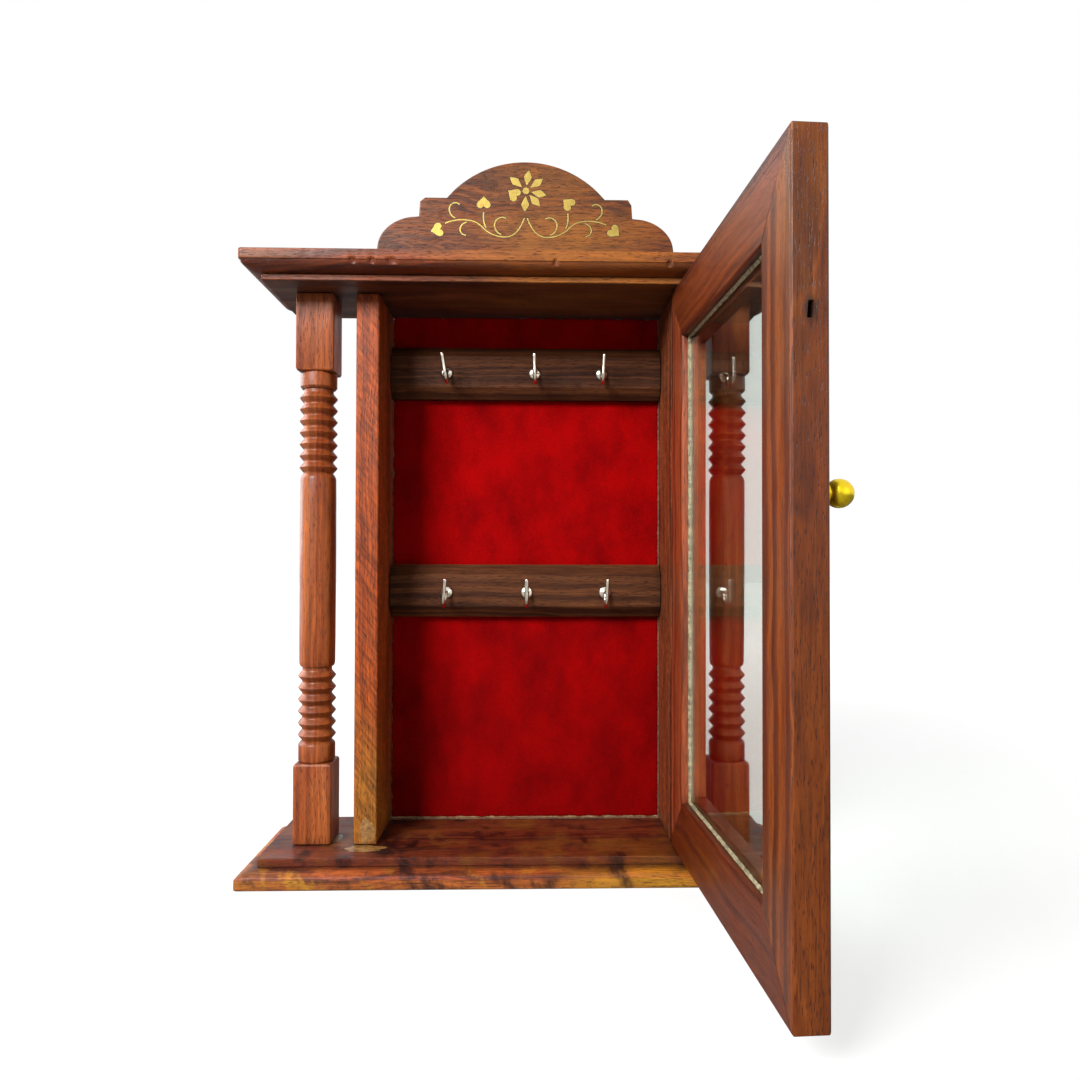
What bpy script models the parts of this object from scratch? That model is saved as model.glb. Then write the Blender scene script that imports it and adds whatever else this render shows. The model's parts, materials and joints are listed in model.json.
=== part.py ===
"""A wooden wall or table key cabinet: moulded base and cornice, two side panels, two turned
pillars, a crest with brass inlay, a velvet back, two hook rails and a glazed door on pivot nails.

Metres, +Z up. The origin is the centre of the base board's underside, the door side is -Y.
The door stands open, as the cabinet is shown in use; its turning axis is the line of the nails.
"""

import math

import bpy
from mathutils import Matrix, Vector

# Carcass
OPENING_HEIGHT = 0.2335
INNER_WIDTH = 0.1242
PANEL_THICKNESS = 0.0098
PANEL_DEPTH = 0.0390
FRONT_OVERHANG = 0.0220
MOULDING_REACH = 0.0070
BOARD_HALF_WIDTH = 0.1145
BOARD_CORNER_CUT = 0.0012
BASE_BAND = 0.0042
BASE_OVOLO = 0.0024
BASE_FILLET = 0.0037
CORNICE_FILLET = 0.0028
CORNICE_OVOLO = 0.0037
CORNICE_FASCIA = 0.0042
EDGE_SOFTENING = 0.0004
GLUE_GAP = 0.0002

# Back
PLY_THICKNESS = 0.0030
VELVET_THICKNESS = 0.0008

# Hook rails and cup hooks
RAIL_HEIGHT = 0.0240
RAIL_FLAT = 0.0142
RAIL_THICKNESS = 0.0080
RAIL_BEVEL_DEPTH = 0.0045
UPPER_RAIL_RISE = 0.2060
LOWER_RAIL_RISE = 0.1058
UPPER_HOOKS = (-0.0363, 0.0039, 0.0346)
LOWER_HOOKS = (-0.0360, 0.0005, 0.0362)
HOOK_LEANS = (-9.0, -2.0, 2.0, 5.0, 0.0, 3.0)
HOOK_DROP = 0.0006
HOOK_WIRE_RADIUS = 0.0009
HOOK_BOWL_RADIUS = 0.0039
HOOK_BEND_RADIUS = 0.0018
HOOK_TIP_RISE = 0.0078
HOOK_REACH = 0.0020
HOOK_CUP_RADIUS = 0.0028
HOOK_CUP_THICKNESS = 0.0011
HOOK_SCREW_LENGTH = 0.0060

# Pillars
PILLAR_BLOCK = 0.0160
PILLAR_GAP = 0.0096
PILLAR_SETBACK = 0.0004
TOP_BLOCK = 0.0330
TOP_COLLAR = 0.0070
TOP_NECK = 0.0013
TOP_BEADS = 7
TOP_BEAD_PITCH = 0.0050
LOW_BLOCK = 0.0336
LOW_COLLAR = 0.0089
LOW_BEADS = 6
LOW_BEAD_PITCH = 0.00503
LOW_NECK = 0.0012
COLLAR_RADIUS = 0.0077
BEAD_RADIUS = 0.0079
VALLEY_RADIUS = 0.0062
SHAFT_RADIUS = 0.0075
SPIGOT_RADIUS = 0.0040
SPIGOT_LENGTH = 0.0060

# Crest
CREST_HALF_WIDTH = 0.0619
CREST_SETBACK = 0.0140
CREST_THICKNESS = 0.0090
CREST_FOOT = 0.0050
CREST_SCALLOP_WIDTH = 0.0173
CREST_SCALLOP_RISE = 0.0138
CREST_STEP_RISE = 0.0079
CREST_STEP_WIDTH = 0.0112
CREST_STEP_ROUND = 0.0022
CREST_DOME_RISE = 0.0154
CREST_DOWEL_RADIUS = 0.0020
CREST_DOWEL_LENGTH = 0.0120

# Brass inlay, let into the crest
INLAY_DEPTH = 0.0010
INLAY_PROUD = 0.00005
INLAY_GAP = 0.00008
WIRE_WIDTH = 0.0007
WIRE_STEP = 0.0015
FLOWER_RISE = 0.0301
FLOWER_CENTRE_RADIUS = 0.0014
PETAL_START = 0.0022
PETAL_END = 0.0088
PETAL_HALF_WIDTH = 0.0015
PETAL_DIRECTIONS = (82.0, 36.0, -12.0, -48.0, -93.0, 139.0)
HEART_SIZE = 0.0029
INNER_HEART_REACH = 0.0176
INNER_HEART_RISE = 0.0250
OUTER_HEART_REACH = 0.0371
OUTER_HEART_RISE = 0.0132
FLOWER_HEART_REACH = 0.0052
FLOWER_HEART_DROP = 0.0014
VINE_START = (0.0006, 0.0187)
VINE_HEADING = 253.0

# Door
DOOR_THICKNESS = 0.0104
DOOR_CLEARANCE = 0.0004
DOOR_SIDE_GAP = 0.0005
DOOR_OPEN_DEGREES = 93.0
FRAME_WIDTH = 0.0234
LIP_WIDTH = 0.0034
LIP_THICKNESS = 0.0048
MITRE_GAP = 0.0001
ARRIS = 0.0006
GLASS_THICKNESS = 0.0020
GLASS_CLEARANCE = 0.0004
SEAL_WIDTH = 0.0012
SEAL_HEIGHT = 0.0010
KNOB_RISE = 0.1385
KNOB_FROM_EDGE = 0.0117
KNOB_RADIUS = 0.0040
KNOB_REACH = 0.0110
STUD_RADIUS = 0.0010
STUD_IN_KNOB = 0.0050
STUD_IN_DOOR = 0.0065
NAIL_RADIUS = 0.0012
NAIL_HEAD_RADIUS = 0.0024
NAIL_HEAD = 0.0009
NAIL_IN_DOOR = 0.0090
NAIL_CLEARANCE = 0.0001
OLD_NAIL_HOLE_RISE = 0.1848

# Fixings
SCREW_RADIUS = 0.0014
SCREW_HEAD_RADIUS = 0.0028
SCREW_IN_PANEL = 0.0110
HANGER_WIDTH = 0.0120
HANGER_HEIGHT = 0.0220
HANGER_THICKNESS = 0.0010
HANGER_EYE_RADIUS = 0.0037
HANGER_SPACING = 0.1500
HANGER_SCREW_HEAD = 0.0025
FIXING_GAP = 0.0001

ROUND = 16
SMALL_ROUND = 8

base_top = BASE_BAND + BASE_OVOLO + BASE_FILLET
cornice_bottom = base_top + OPENING_HEIGHT
cornice_top = cornice_bottom + CORNICE_FILLET + CORNICE_OVOLO + CORNICE_FASCIA
board_depth = FRONT_OVERHANG + PANEL_DEPTH
back = board_depth / 2
front = -board_depth / 2
panel_front = front + FRONT_OVERHANG
inner = INNER_WIDTH / 2
outer = inner + PANEL_THICKNESS
ply_front = back - PLY_THICKNESS
velvet_front = ply_front - GLUE_GAP - VELVET_THICKNESS
rail_back = velvet_front - GLUE_GAP
rail_front = rail_back - RAIL_THICKNESS
pillar_x = outer + PILLAR_GAP + PILLAR_BLOCK / 2
pillar_y = panel_front + PILLAR_SETBACK + PILLAR_BLOCK / 2
crest_front = front + CREST_SETBACK
half_door = DOOR_THICKNESS / 2
pivot_x = outer - half_door
pivot_y = panel_front - DOOR_SIDE_GAP - half_door
door_low = base_top + DOOR_CLEARANCE
door_high = cornice_bottom - DOOR_CLEARANCE
free_edge = -(2 * outer - half_door)
lip_top = LIP_THICKNESS - half_door

for old in list(bpy.data.objects):
    bpy.data.objects.remove(old)


def finish(name, colour, metallic=0.0, roughness=0.5, alpha=1.0):
    material = bpy.data.materials.new(name)
    material.use_nodes = True
    shader = material.node_tree.nodes["Principled BSDF"]
    shader.inputs["Base Color"].default_value = (*colour, 1.0)
    shader.inputs["Metallic"].default_value = metallic
    shader.inputs["Roughness"].default_value = roughness
    shader.inputs["Alpha"].default_value = alpha
    return material


rosewood = (0.27, 0.095, 0.045)
palewood = (0.42, 0.19, 0.07)
darkwood = (0.10, 0.035, 0.025)
brass = (0.80, 0.62, 0.28)
nickel = (0.62, 0.60, 0.56)


def mesh_object(name, points, faces, material, smooth=False):
    mesh = bpy.data.meshes.new(name)
    mesh.from_pydata([tuple(point) for point in points], [], faces)
    mesh.validate()
    if signed_volume(mesh) < 0:
        mesh.flip_normals()
    if smooth:
        mesh.shade_smooth()
        mesh.set_sharp_from_angle(angle=math.radians(35))
    mesh.materials.append(material)
    made = bpy.data.objects.new(name, mesh)
    bpy.context.scene.collection.objects.link(made)
    return made


def signed_volume(mesh):
    total = 0.0
    for face in mesh.polygons:
        corners = [mesh.vertices[i].co for i in face.vertices]
        for second, third in zip(corners[1:], corners[2:]):
            total += corners[0].dot(second.cross(third))
    return total


def stacked(name, rings, material, smooth=False):
    """A closed solid through rings of equally many points; a ring of one point is a tip."""
    points = []
    faces = []
    starts = []
    for ring in rings:
        starts.append(len(points))
        points.extend(ring)
    for k in range(len(rings) - 1):
        a, b = starts[k], starts[k + 1]
        count_a, count_b = len(rings[k]), len(rings[k + 1])
        for i in range(max(count_a, count_b)):
            j = (i + 1) % max(count_a, count_b)
            if count_a == 1:
                faces.append((a, b + j, b + i))
            elif count_b == 1:
                faces.append((a + i, a + j, b))
            else:
                faces.append((a + i, a + j, b + j, b + i))
    if len(rings[0]) > 1:
        faces.append(tuple(range(starts[0] + len(rings[0]) - 1, starts[0] - 1, -1)))
    if len(rings[-1]) > 1:
        faces.append(tuple(range(starts[-1], starts[-1] + len(rings[-1]))))
    return mesh_object(name, points, faces, material, smooth)


def block(name, low, high, material, softened=False):
    ring = [(low[0], low[1]), (high[0], low[1]), (high[0], high[1]), (low[0], high[1])]
    rings = [[(x, y, z) for x, y in ring] for z in (low[2], high[2])]
    made = stacked(name, rings, material)
    if softened:
        bevel = made.modifiers.new("softened edges", "BEVEL")
        bevel.width = EDGE_SOFTENING
        bevel.segments = 1
        bevel.limit_method = "NONE"
    return made


def sawn(name, outline, near, far, material):
    """A board sawn to an (x, z) outline, with its faces at y = near and y = far."""
    return stacked(name, [[(x, y, z) for x, z in outline] for y in (near, far)], material)


def turned(name, profile, centre, material, sides=ROUND, axis="Z"):
    """A piece turned to (radius, height) pairs; a radius of 0 makes a tip."""
    rings = []
    for radius, height in profile:
        if radius == 0:
            rings.append([Vector((0, 0, height))])
            continue
        angles = [math.tau * i / sides for i in range(sides)]
        rings.append([Vector((radius * math.cos(a), radius * math.sin(a), height)) for a in angles])
    turn = Matrix.Identity(3)
    if axis == "-Y":
        turn = Matrix.Rotation(math.radians(90), 3, "X")
    rings = [[turn @ point + Vector(centre) for point in ring] for ring in rings]
    return stacked(name, rings, material, smooth=True)


def cut(target, cutters):
    group = bpy.data.collections.new(target.name + " cutters")
    bpy.context.scene.collection.children.link(group)
    for cutter in cutters:
        group.objects.link(cutter)
        cutter.hide_render = True
        cutter.display_type = "WIRE"
    boolean = target.modifiers.new("cut out", "BOOLEAN")
    boolean.operation = "DIFFERENCE"
    boolean.operand_type = "COLLECTION"
    boolean.collection = group
    boolean.solver = "EXACT"


cutter_skin = finish("cutter", (0.5, 0.5, 0.5))


def hole(name, centre, radius, low, high, sides=ROUND, axis="Z"):
    return turned(name, [(radius, low), (radius, high)], centre, cutter_skin, sides, axis)


# Base and cornice: flat boards with the same moulding worked on the front and both ends.
def moulded_board(name, levels, material):
    rings = []
    for reach, height in levels:
        half = BOARD_HALF_WIDTH - MOULDING_REACH + reach
        near = front + MOULDING_REACH - reach
        corner = BOARD_CORNER_CUT
        ring = [(-half, back), (-half, near + corner), (-half + corner, near)]
        ring += [(half - corner, near), (half, near + corner), (half, back)]
        rings.append([(x, y, height) for x, y in ring])
    return stacked(name, rings, material)


def ovolo(low, high, steps=4):
    """(reach, height) pairs of a quarter-round that widens from height high down to height low."""
    pairs = []
    for i in range(steps + 1):
        angle = math.radians(90) * i / steps
        reach = MOULDING_REACH * math.cos(angle)
        pairs.append((reach, low + (high - low) * math.sin(angle)))
    return pairs


base_levels = [(MOULDING_REACH, 0.0)]
base_levels += ovolo(BASE_BAND, BASE_BAND + BASE_OVOLO)
base_levels += [(0.0, base_top)]
base_board = moulded_board("base_board", base_levels, finish("base sheesham", rosewood))

fillet_top = cornice_bottom + CORNICE_FILLET
fascia_low = fillet_top + CORNICE_OVOLO
cornice_levels = [(0.0, cornice_bottom)]
cornice_levels += list(reversed(ovolo(fascia_low, fillet_top)))
cornice_levels += [(MOULDING_REACH, cornice_top)]
cornice_board = moulded_board("cornice_board", cornice_levels, finish("cornice sheesham", rosewood))

# Side panels and back
panels = []
for side, word in ((-1, "left"), (1, "right")):
    low_x, high_x = sorted((side * inner, side * outer))
    low = (low_x, panel_front, base_top + GLUE_GAP)
    high = (high_x, back, cornice_bottom - GLUE_GAP)
    wood = finish("side panel sheesham " + word, rosewood)
    panels.append(block("side_panel_" + word, low, high, wood, softened=True))

back_low = (-inner + GLUE_GAP, ply_front, base_top + GLUE_GAP)
back_high = (inner - GLUE_GAP, back, cornice_bottom - GLUE_GAP)
block("back_panel", back_low, back_high, finish("plywood", palewood))
velvet_low = (-inner + GLUE_GAP, velvet_front, base_top + GLUE_GAP)
velvet_high = (inner - GLUE_GAP, velvet_front + VELVET_THICKNESS, cornice_bottom - GLUE_GAP)
block("velvet_lining", velvet_low, velvet_high, finish("red velvet", (0.45, 0.005, 0.01), 0, 0.95))


# Hook rails: a strip with its two long front edges bevelled.
def hook_rail(name, middle, material):
    low, high = middle - RAIL_HEIGHT / 2, middle + RAIL_HEIGHT / 2
    shoulder = rail_front + RAIL_BEVEL_DEPTH
    section = [(rail_back, low), (shoulder, low), (rail_front, middle - RAIL_FLAT / 2)]
    section += [(rail_front, middle + RAIL_FLAT / 2), (shoulder, high), (rail_back, high)]
    end = inner - GLUE_GAP
    return stacked(name, [[(x, y, z) for y, z in section] for x in (-end, end)], material)


def hook_path():
    """(reach in front of the rail, height) along a cup hook, from its screw tip to its free end."""
    path = [(-HOOK_SCREW_LENGTH, 0.0), (0.0, 0.0), (HOOK_CUP_THICKNESS, 0.0), (HOOK_REACH, 0.0)]
    for i in range(1, 3):
        angle = math.radians(90) * i / 2
        reach = HOOK_REACH + HOOK_BEND_RADIUS * math.sin(angle)
        path.append((reach, -HOOK_BEND_RADIUS * (1 - math.cos(angle))))
    start = path[-1]
    for i in range(1, 7):
        angle = math.radians(180) * i / 6
        reach = start[0] + HOOK_BOWL_RADIUS * (1 - math.cos(angle))
        path.append((reach, start[1] - HOOK_BOWL_RADIUS * math.sin(angle)))
    path.append((path[-1][0] + 0.0006, path[-1][1] + HOOK_TIP_RISE))
    return path


def cup_hook(name, x, z, lean, material):
    """One hook, made of wire with a flat cup round it where it meets the rail."""
    path = hook_path()
    directions = []
    for i in range(len(path)):
        a, b = path[max(i - 1, 0)], path[min(i + 1, len(path) - 1)]
        directions.append(Vector((0, b[0] - a[0], b[1] - a[1])).normalized())
    roll = Matrix.Rotation(math.radians(lean), 3, "Y")
    rings = []

    def ring(place, radius):
        along = directions[place]
        across = Vector((1, 0, 0))
        third = along.cross(across)
        middle = Vector((0, path[place][0], path[place][1]))
        points = []
        for i in range(SMALL_ROUND):
            angle = math.tau * i / SMALL_ROUND
            point = middle + radius * (math.cos(angle) * across + math.sin(angle) * third)
            point = roll @ Vector((point.x, -point.y, point.z))
            points.append(point + Vector((x, rail_front - GLUE_GAP, z)))
        rings.append(points)

    ring(0, HOOK_WIRE_RADIUS * 0.45)
    ring(1, HOOK_WIRE_RADIUS)
    ring(1, HOOK_CUP_RADIUS)
    ring(2, HOOK_CUP_RADIUS * 0.86)
    ring(2, HOOK_WIRE_RADIUS)
    for place in range(3, len(path)):
        ring(place, HOOK_WIRE_RADIUS)
    rings[-1:] = [rings[-1], [sum(rings[-1], Vector()) / SMALL_ROUND + Vector((0, 0, 0.0006))]]
    return stacked(name, rings, material, smooth=True)


for word, rise, places, leans in (
    ("upper", UPPER_RAIL_RISE, UPPER_HOOKS, HOOK_LEANS[:3]),
    ("lower", LOWER_RAIL_RISE, LOWER_HOOKS, HOOK_LEANS[3:]),
):
    middle = base_top + rise
    rail = hook_rail("hook_rail_" + word, middle, finish("hook rail rosewood " + word, darkwood))
    drills = []
    for number, (x, lean) in enumerate(zip(places, leans), 1):
        z = middle - HOOK_DROP
        name = "cup_hook_" + word + "_" + str(number)
        cup_hook(name, x, z, lean, finish("nickel " + name, nickel, 1, 0.3))
        depth = HOOK_SCREW_LENGTH + GLUE_GAP + FIXING_GAP
        at = (x, rail_front + depth, z)
        wide = HOOK_WIRE_RADIUS + 2 * FIXING_GAP
        drills.append(hole(name + " drill", at, wide, 0.0, depth + 0.002, SMALL_ROUND, "-Y"))
    cut(rail, drills)


# Pillars: square blocks at both ends, turned between them, with a spigot into each board.
def pillar_profile():
    """(shape, radius, height) from the bottom spigot to the top one."""
    low = base_top + GLUE_GAP
    high = cornice_bottom - GLUE_GAP
    half = PILLAR_BLOCK / 2
    profile = [("round", SPIGOT_RADIUS, low - SPIGOT_LENGTH), ("round", SPIGOT_RADIUS, low)]
    profile += [("square", half, low), ("square", half, low + LOW_BLOCK - 0.001)]
    height = low + LOW_BLOCK
    profile += [("square", half - 0.0008, height), ("round", COLLAR_RADIUS * 0.93, height)]
    profile += [("round", COLLAR_RADIUS, height + 0.001)]
    height += LOW_COLLAR
    profile += [("round", COLLAR_RADIUS, height - 0.001), ("round", VALLEY_RADIUS, height)]
    profile += beads(height, LOW_BEADS, LOW_BEAD_PITCH)
    height += LOW_BEADS * LOW_BEAD_PITCH + LOW_NECK
    profile += [("round", VALLEY_RADIUS, height), ("round", SHAFT_RADIUS * 0.97, height + 0.0012)]
    top = high - TOP_BLOCK
    collar = top - TOP_COLLAR
    bead_top = collar - TOP_NECK
    bead_low = bead_top - TOP_BEADS * TOP_BEAD_PITCH
    profile += [("round", SHAFT_RADIUS, (height + bead_low) / 2)]
    profile += [("round", SHAFT_RADIUS * 0.97, bead_low - 0.0012), ("round", VALLEY_RADIUS, bead_low)]
    profile += beads(bead_low, TOP_BEADS, TOP_BEAD_PITCH)
    profile += [("round", VALLEY_RADIUS, collar), ("round", COLLAR_RADIUS, collar + 0.001)]
    profile += [("round", COLLAR_RADIUS, top - 0.001)]
    profile += [("round", COLLAR_RADIUS * 0.93, top), ("square", half - 0.0008, top)]
    profile += [("square", half, top + 0.001), ("square", half, high)]
    profile += [("round", SPIGOT_RADIUS, high), ("round", SPIGOT_RADIUS, high + SPIGOT_LENGTH)]
    return profile


def beads(low, count, pitch):
    profile = []
    for i in range(count):
        tip = low + pitch * (i + 0.5)
        profile += [("round", BEAD_RADIUS, tip - 0.0007), ("round", BEAD_RADIUS, tip + 0.0007)]
        profile += [("round", VALLEY_RADIUS, low + pitch * (i + 1))]
    return profile


for side, word in ((-1, "left"), (1, "right")):
    rings = []
    for shape, radius, height in pillar_profile():
        ring = []
        for i in range(ROUND):
            angle = math.tau * i / ROUND
            reach = radius
            if shape == "square":
                reach = radius / max(abs(math.cos(angle)), abs(math.sin(angle)))
            x = side * pillar_x + reach * math.cos(angle)
            ring.append((x, pillar_y + reach * math.sin(angle), height))
        rings.append(ring)
    stacked("pillar_" + word, rings, finish("pillar sheesham " + word, rosewood), smooth=True)


# Crest: a scalloped foot, a step with a rounded corner, and a low dome, the same on both sides.
def crest_outline():
    right = [(CREST_HALF_WIDTH, 0.0), (CREST_HALF_WIDTH, CREST_FOOT)]
    for i in range(1, 6):
        angle = math.radians(90) * i / 5
        x = CREST_HALF_WIDTH - CREST_SCALLOP_WIDTH * (1 - math.cos(angle))
        right.append((x, CREST_FOOT + CREST_SCALLOP_RISE * math.sin(angle)))
    step_x = CREST_HALF_WIDTH - CREST_SCALLOP_WIDTH - 0.0004
    step_z = CREST_FOOT + CREST_SCALLOP_RISE + CREST_STEP_RISE
    for i in range(4):
        angle = math.radians(90) * i / 3
        x = step_x - CREST_STEP_ROUND * (1 - math.cos(angle))
        right.append((x, step_z - CREST_STEP_ROUND * (1 - math.sin(angle))))
    dome_x = step_x - CREST_STEP_WIDTH
    radius = (dome_x**2 + CREST_DOME_RISE**2) / (2 * CREST_DOME_RISE)
    start = math.asin(dome_x / radius)
    for i in range(8):
        angle = start * (1 - i / 8)
        centre = step_z + CREST_DOME_RISE - radius
        right.append((radius * math.sin(angle), centre + radius * math.cos(angle)))
    top = (0.0, step_z + CREST_DOME_RISE)
    left = [(-x, z) for x, z in reversed(right)]
    rise = cornice_top + GLUE_GAP
    return [(x, z + rise) for x, z in right + [top] + left]


crest = sawn(
    "crest_board",
    crest_outline(),
    crest_front,
    crest_front + CREST_THICKNESS,
    finish("crest sheesham", palewood),
)


# Brass inlay: every shape is a flat outline, and its pocket is the same outline, a little larger.
def strip(points, half):
    """The outline of a wire of half-width half along the given line."""
    sides = ([], [])
    for i in range(len(points)):
        a, b = points[max(i - 1, 0)], points[min(i + 1, len(points) - 1)]
        along = (Vector(b) - Vector(a)).normalized()
        push = 0.0
        if i == 0:
            push = -(half - WIRE_WIDTH / 2)
        if i == len(points) - 1:
            push = half - WIRE_WIDTH / 2
        middle = Vector(points[i]) + along * push
        normal = Vector((-along.y, along.x))
        sides[0].append(tuple(middle + normal * half))
        sides[1].append(tuple(middle - normal * half))
    return sides[0] + sides[1][::-1]


def walk(start, heading, arcs):
    """Points along arcs of (length, degrees turned), from a start point and a heading."""
    points = [start]
    x, y = start
    for length, turn in arcs:
        count = max(2, round(length / WIRE_STEP))
        for i in range(count):
            heading += turn / count / 2
            x += length / count * math.cos(math.radians(heading))
            y += length / count * math.sin(math.radians(heading))
            heading += turn / count / 2
            points.append((x, y))
    return points


def branch(stem, place, lift, heading, arcs):
    """A side shoot that starts beside the point of the stem at this share of its length."""
    index = round(place * (len(stem) - 1))
    along = (Vector(stem[index + 1]) - Vector(stem[index - 1])).normalized()
    normal = Vector((-along.y, along.x)) * lift
    start = Vector(stem[index]) + normal * (WIRE_WIDTH + INLAY_GAP * 2)
    return walk(tuple(start), heading, arcs)


def vine():
    """The wires of the left-hand scroll: the long vine, a stalk and three curls."""
    start = (-VINE_START[0], VINE_START[1])
    bends = [(0.0064, -22), (0.0060, -51), (0.0105, -47), (0.0055, 36), (0.0110, 35)]
    long_wire = walk(start, VINE_HEADING, bends)
    wires = {"vine": long_wire}
    wires["stalk"] = branch(long_wire, 0.55, -1, 118, [(0.0040, -24), (0.0028, -12)])
    wires["curl_low"] = branch(long_wire, 0.33, -1, 160, [(0.0052, -70), (0.0068, -120)])
    wires["curl_mid"] = branch(long_wire, 0.76, 1, 192, [(0.0030, 45), (0.0052, 120)])
    wires["curl_end"] = branch(long_wire, 0.88, -1, 158, [(0.0050, -70), (0.0058, -130)])
    return wires


def petal_outline(grow, angle):
    start, end, half = PETAL_START - grow, PETAL_END + grow * 2, PETAL_HALF_WIDTH + grow
    middle = start + (end - start) * 0.55
    shape = [(start, 0), (middle - half * 0.3, -half), (middle + half * 0.5, -half * 0.9), (end, 0)]
    shape += [(middle + half * 0.5, half * 0.9), (middle - half * 0.3, half)]
    turn = Matrix.Rotation(math.radians(angle), 2)
    return [tuple(turn @ Vector(point) + Vector((0.0, FLOWER_RISE))) for point in shape]


def heart_outline(grow, centre, angle):
    size = HEART_SIZE + grow
    points = []
    for i in range(14):
        t = math.tau * i / 14
        x = math.sin(t) ** 3
        y = (13 * math.cos(t) - 5 * math.cos(2 * t) - 2 * math.cos(3 * t) - math.cos(4 * t)) / 16
        points.append((x * size, (y + 0.1) * size))
    turn = Matrix.Rotation(math.radians(angle), 2)
    return [tuple(turn @ Vector(point) + Vector(centre)) for point in points]


def disc_outline(grow):
    radius = FLOWER_CENTRE_RADIUS + grow
    angles = [math.tau * i / 12 for i in range(12)]
    return [(radius * math.cos(a), FLOWER_RISE + radius * math.sin(a)) for a in angles]


def mirrored(points):
    return [(-x, y) for x, y in points]


inlays = {"inlay_flower_centre": disc_outline}
for k, angle in enumerate(PETAL_DIRECTIONS, 1):
    inlays["inlay_petal_" + str(k)] = lambda grow, angle=angle: petal_outline(grow, angle)
for word, x, y, angle in (
    ("flower", -FLOWER_HEART_REACH, FLOWER_RISE - FLOWER_HEART_DROP, -124),
    ("inner_left", -INNER_HEART_REACH, INNER_HEART_RISE, 180),
    ("inner_right", INNER_HEART_REACH, INNER_HEART_RISE, 230),
    ("outer_left", -OUTER_HEART_REACH, OUTER_HEART_RISE, -75),
    ("outer_right", OUTER_HEART_REACH, OUTER_HEART_RISE, 50),
):
    inlays["inlay_heart_" + word] = (
        lambda grow, at=(x, y), angle=angle: heart_outline(grow, at, angle)
    )
for word, line in vine().items():
    for hand, points in (("left", line), ("right", mirrored(line))):
        inlays["inlay_" + word + "_" + hand] = (
            lambda grow, points=points: strip(points, WIRE_WIDTH / 2 + grow)
        )

pockets = []
for name, outline in inlays.items():
    lifted = [(x, z + cornice_top) for x, z in outline(0.0)]
    pocket = [(x, z + cornice_top) for x, z in outline(INLAY_GAP)]
    near = crest_front - INLAY_PROUD
    sawn(name, lifted, near, near + INLAY_DEPTH, finish(name + " brass", brass, 1, 0.35))
    floor = crest_front + INLAY_DEPTH + INLAY_GAP
    pockets.append(sawn(name + " pocket", pocket, crest_front - 0.001, floor, cutter_skin))

# Dowels that hold the crest on the cornice
dowel_y = crest_front + CREST_THICKNESS / 2
dowel_drills = []
for side, word in ((-1, "left"), (1, "right")):
    at = (side * CREST_HALF_WIDTH * 0.7, dowel_y, cornice_top)
    reach = CREST_DOWEL_LENGTH / 2
    profile = [(CREST_DOWEL_RADIUS, -reach), (CREST_DOWEL_RADIUS, reach)]
    turned("crest_dowel_" + word, profile, at, finish("dowel beech " + word, palewood), SMALL_ROUND)
    wide = CREST_DOWEL_RADIUS + 2 * FIXING_GAP
    deep = reach + FIXING_GAP
    dowel_drills.append(hole("dowel drill " + word, at, wide, -deep, deep, SMALL_ROUND))
cut(crest, pockets + dowel_drills)


# The door hangs from its own axis: door pieces are measured from the nails, with the door shut.
pivot = bpy.data.objects.new("door_pivot", None)
pivot.location = (pivot_x, pivot_y, 0.0)
pivot.rotation_euler = (0.0, 0.0, math.radians(DOOR_OPEN_DEGREES))
bpy.context.scene.collection.objects.link(pivot)


def on_door(made):
    made.parent = pivot
    return made


def frame_section(rounded):
    """(distance in from the edge, y) round a frame member: outer arris, rebate and lip."""
    wall = FRAME_WIDTH
    section = []
    if rounded:
        for i in range(9):
            angle = math.radians(-90 + 180 * i / 8)
            section.append((half_door * (1 - math.cos(angle)), half_door * math.sin(angle)))
    else:
        section = [(ARRIS, -half_door), (0.0, -half_door + ARRIS)]
        section += [(0.0, half_door - ARRIS), (ARRIS, half_door)]
    section += [(wall - ARRIS, half_door), (wall, half_door - ARRIS), (wall, lip_top)]
    section += [(wall + LIP_WIDTH, lip_top), (wall + LIP_WIDTH, -half_door)]
    return section


def frame_member(name, place, low, high, rounded=False):
    """A mitred member; place turns (distance in, distance along, y) into door coordinates."""
    rings = []
    for end in (low, high):
        inward = 1 if end == low else -1
        ring = []
        for distance, y in frame_section(rounded):
            ring.append(place(distance, end + inward * (distance + MITRE_GAP), y))
        rings.append(ring)
    return on_door(stacked(name, rings, finish(name + " sheesham", rosewood)))


hinge_stile = frame_member(
    "door_stile_pivot",
    lambda distance, along, y: (half_door - distance, y, along),
    door_low,
    door_high,
    rounded=True,
)
free_stile = frame_member(
    "door_stile_free",
    lambda distance, along, y: (free_edge + distance, y, along),
    door_low,
    door_high,
)
bottom_rail = frame_member(
    "door_rail_bottom",
    lambda distance, along, y: (along, y, door_low + distance),
    free_edge,
    half_door,
)
top_rail = frame_member(
    "door_rail_top",
    lambda distance, along, y: (along, y, door_high - distance),
    free_edge,
    half_door,
)


def round_end(name, low, high):
    """What is planed off the end of a rail so that it is round about the nails."""
    outline = [(0.0, -2 * half_door), (2 * half_door, -2 * half_door)]
    outline += [(2 * half_door, 2 * half_door), (0.0, 2 * half_door)]
    for i in range(9):
        angle = math.radians(90 - 180 * i / 8)
        outline.append((half_door * math.cos(angle), half_door * math.sin(angle)))
    rings = [[(x, y, z) for x, y in outline] for z in (low, high)]
    return on_door(stacked(name, rings, cutter_skin))


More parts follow.
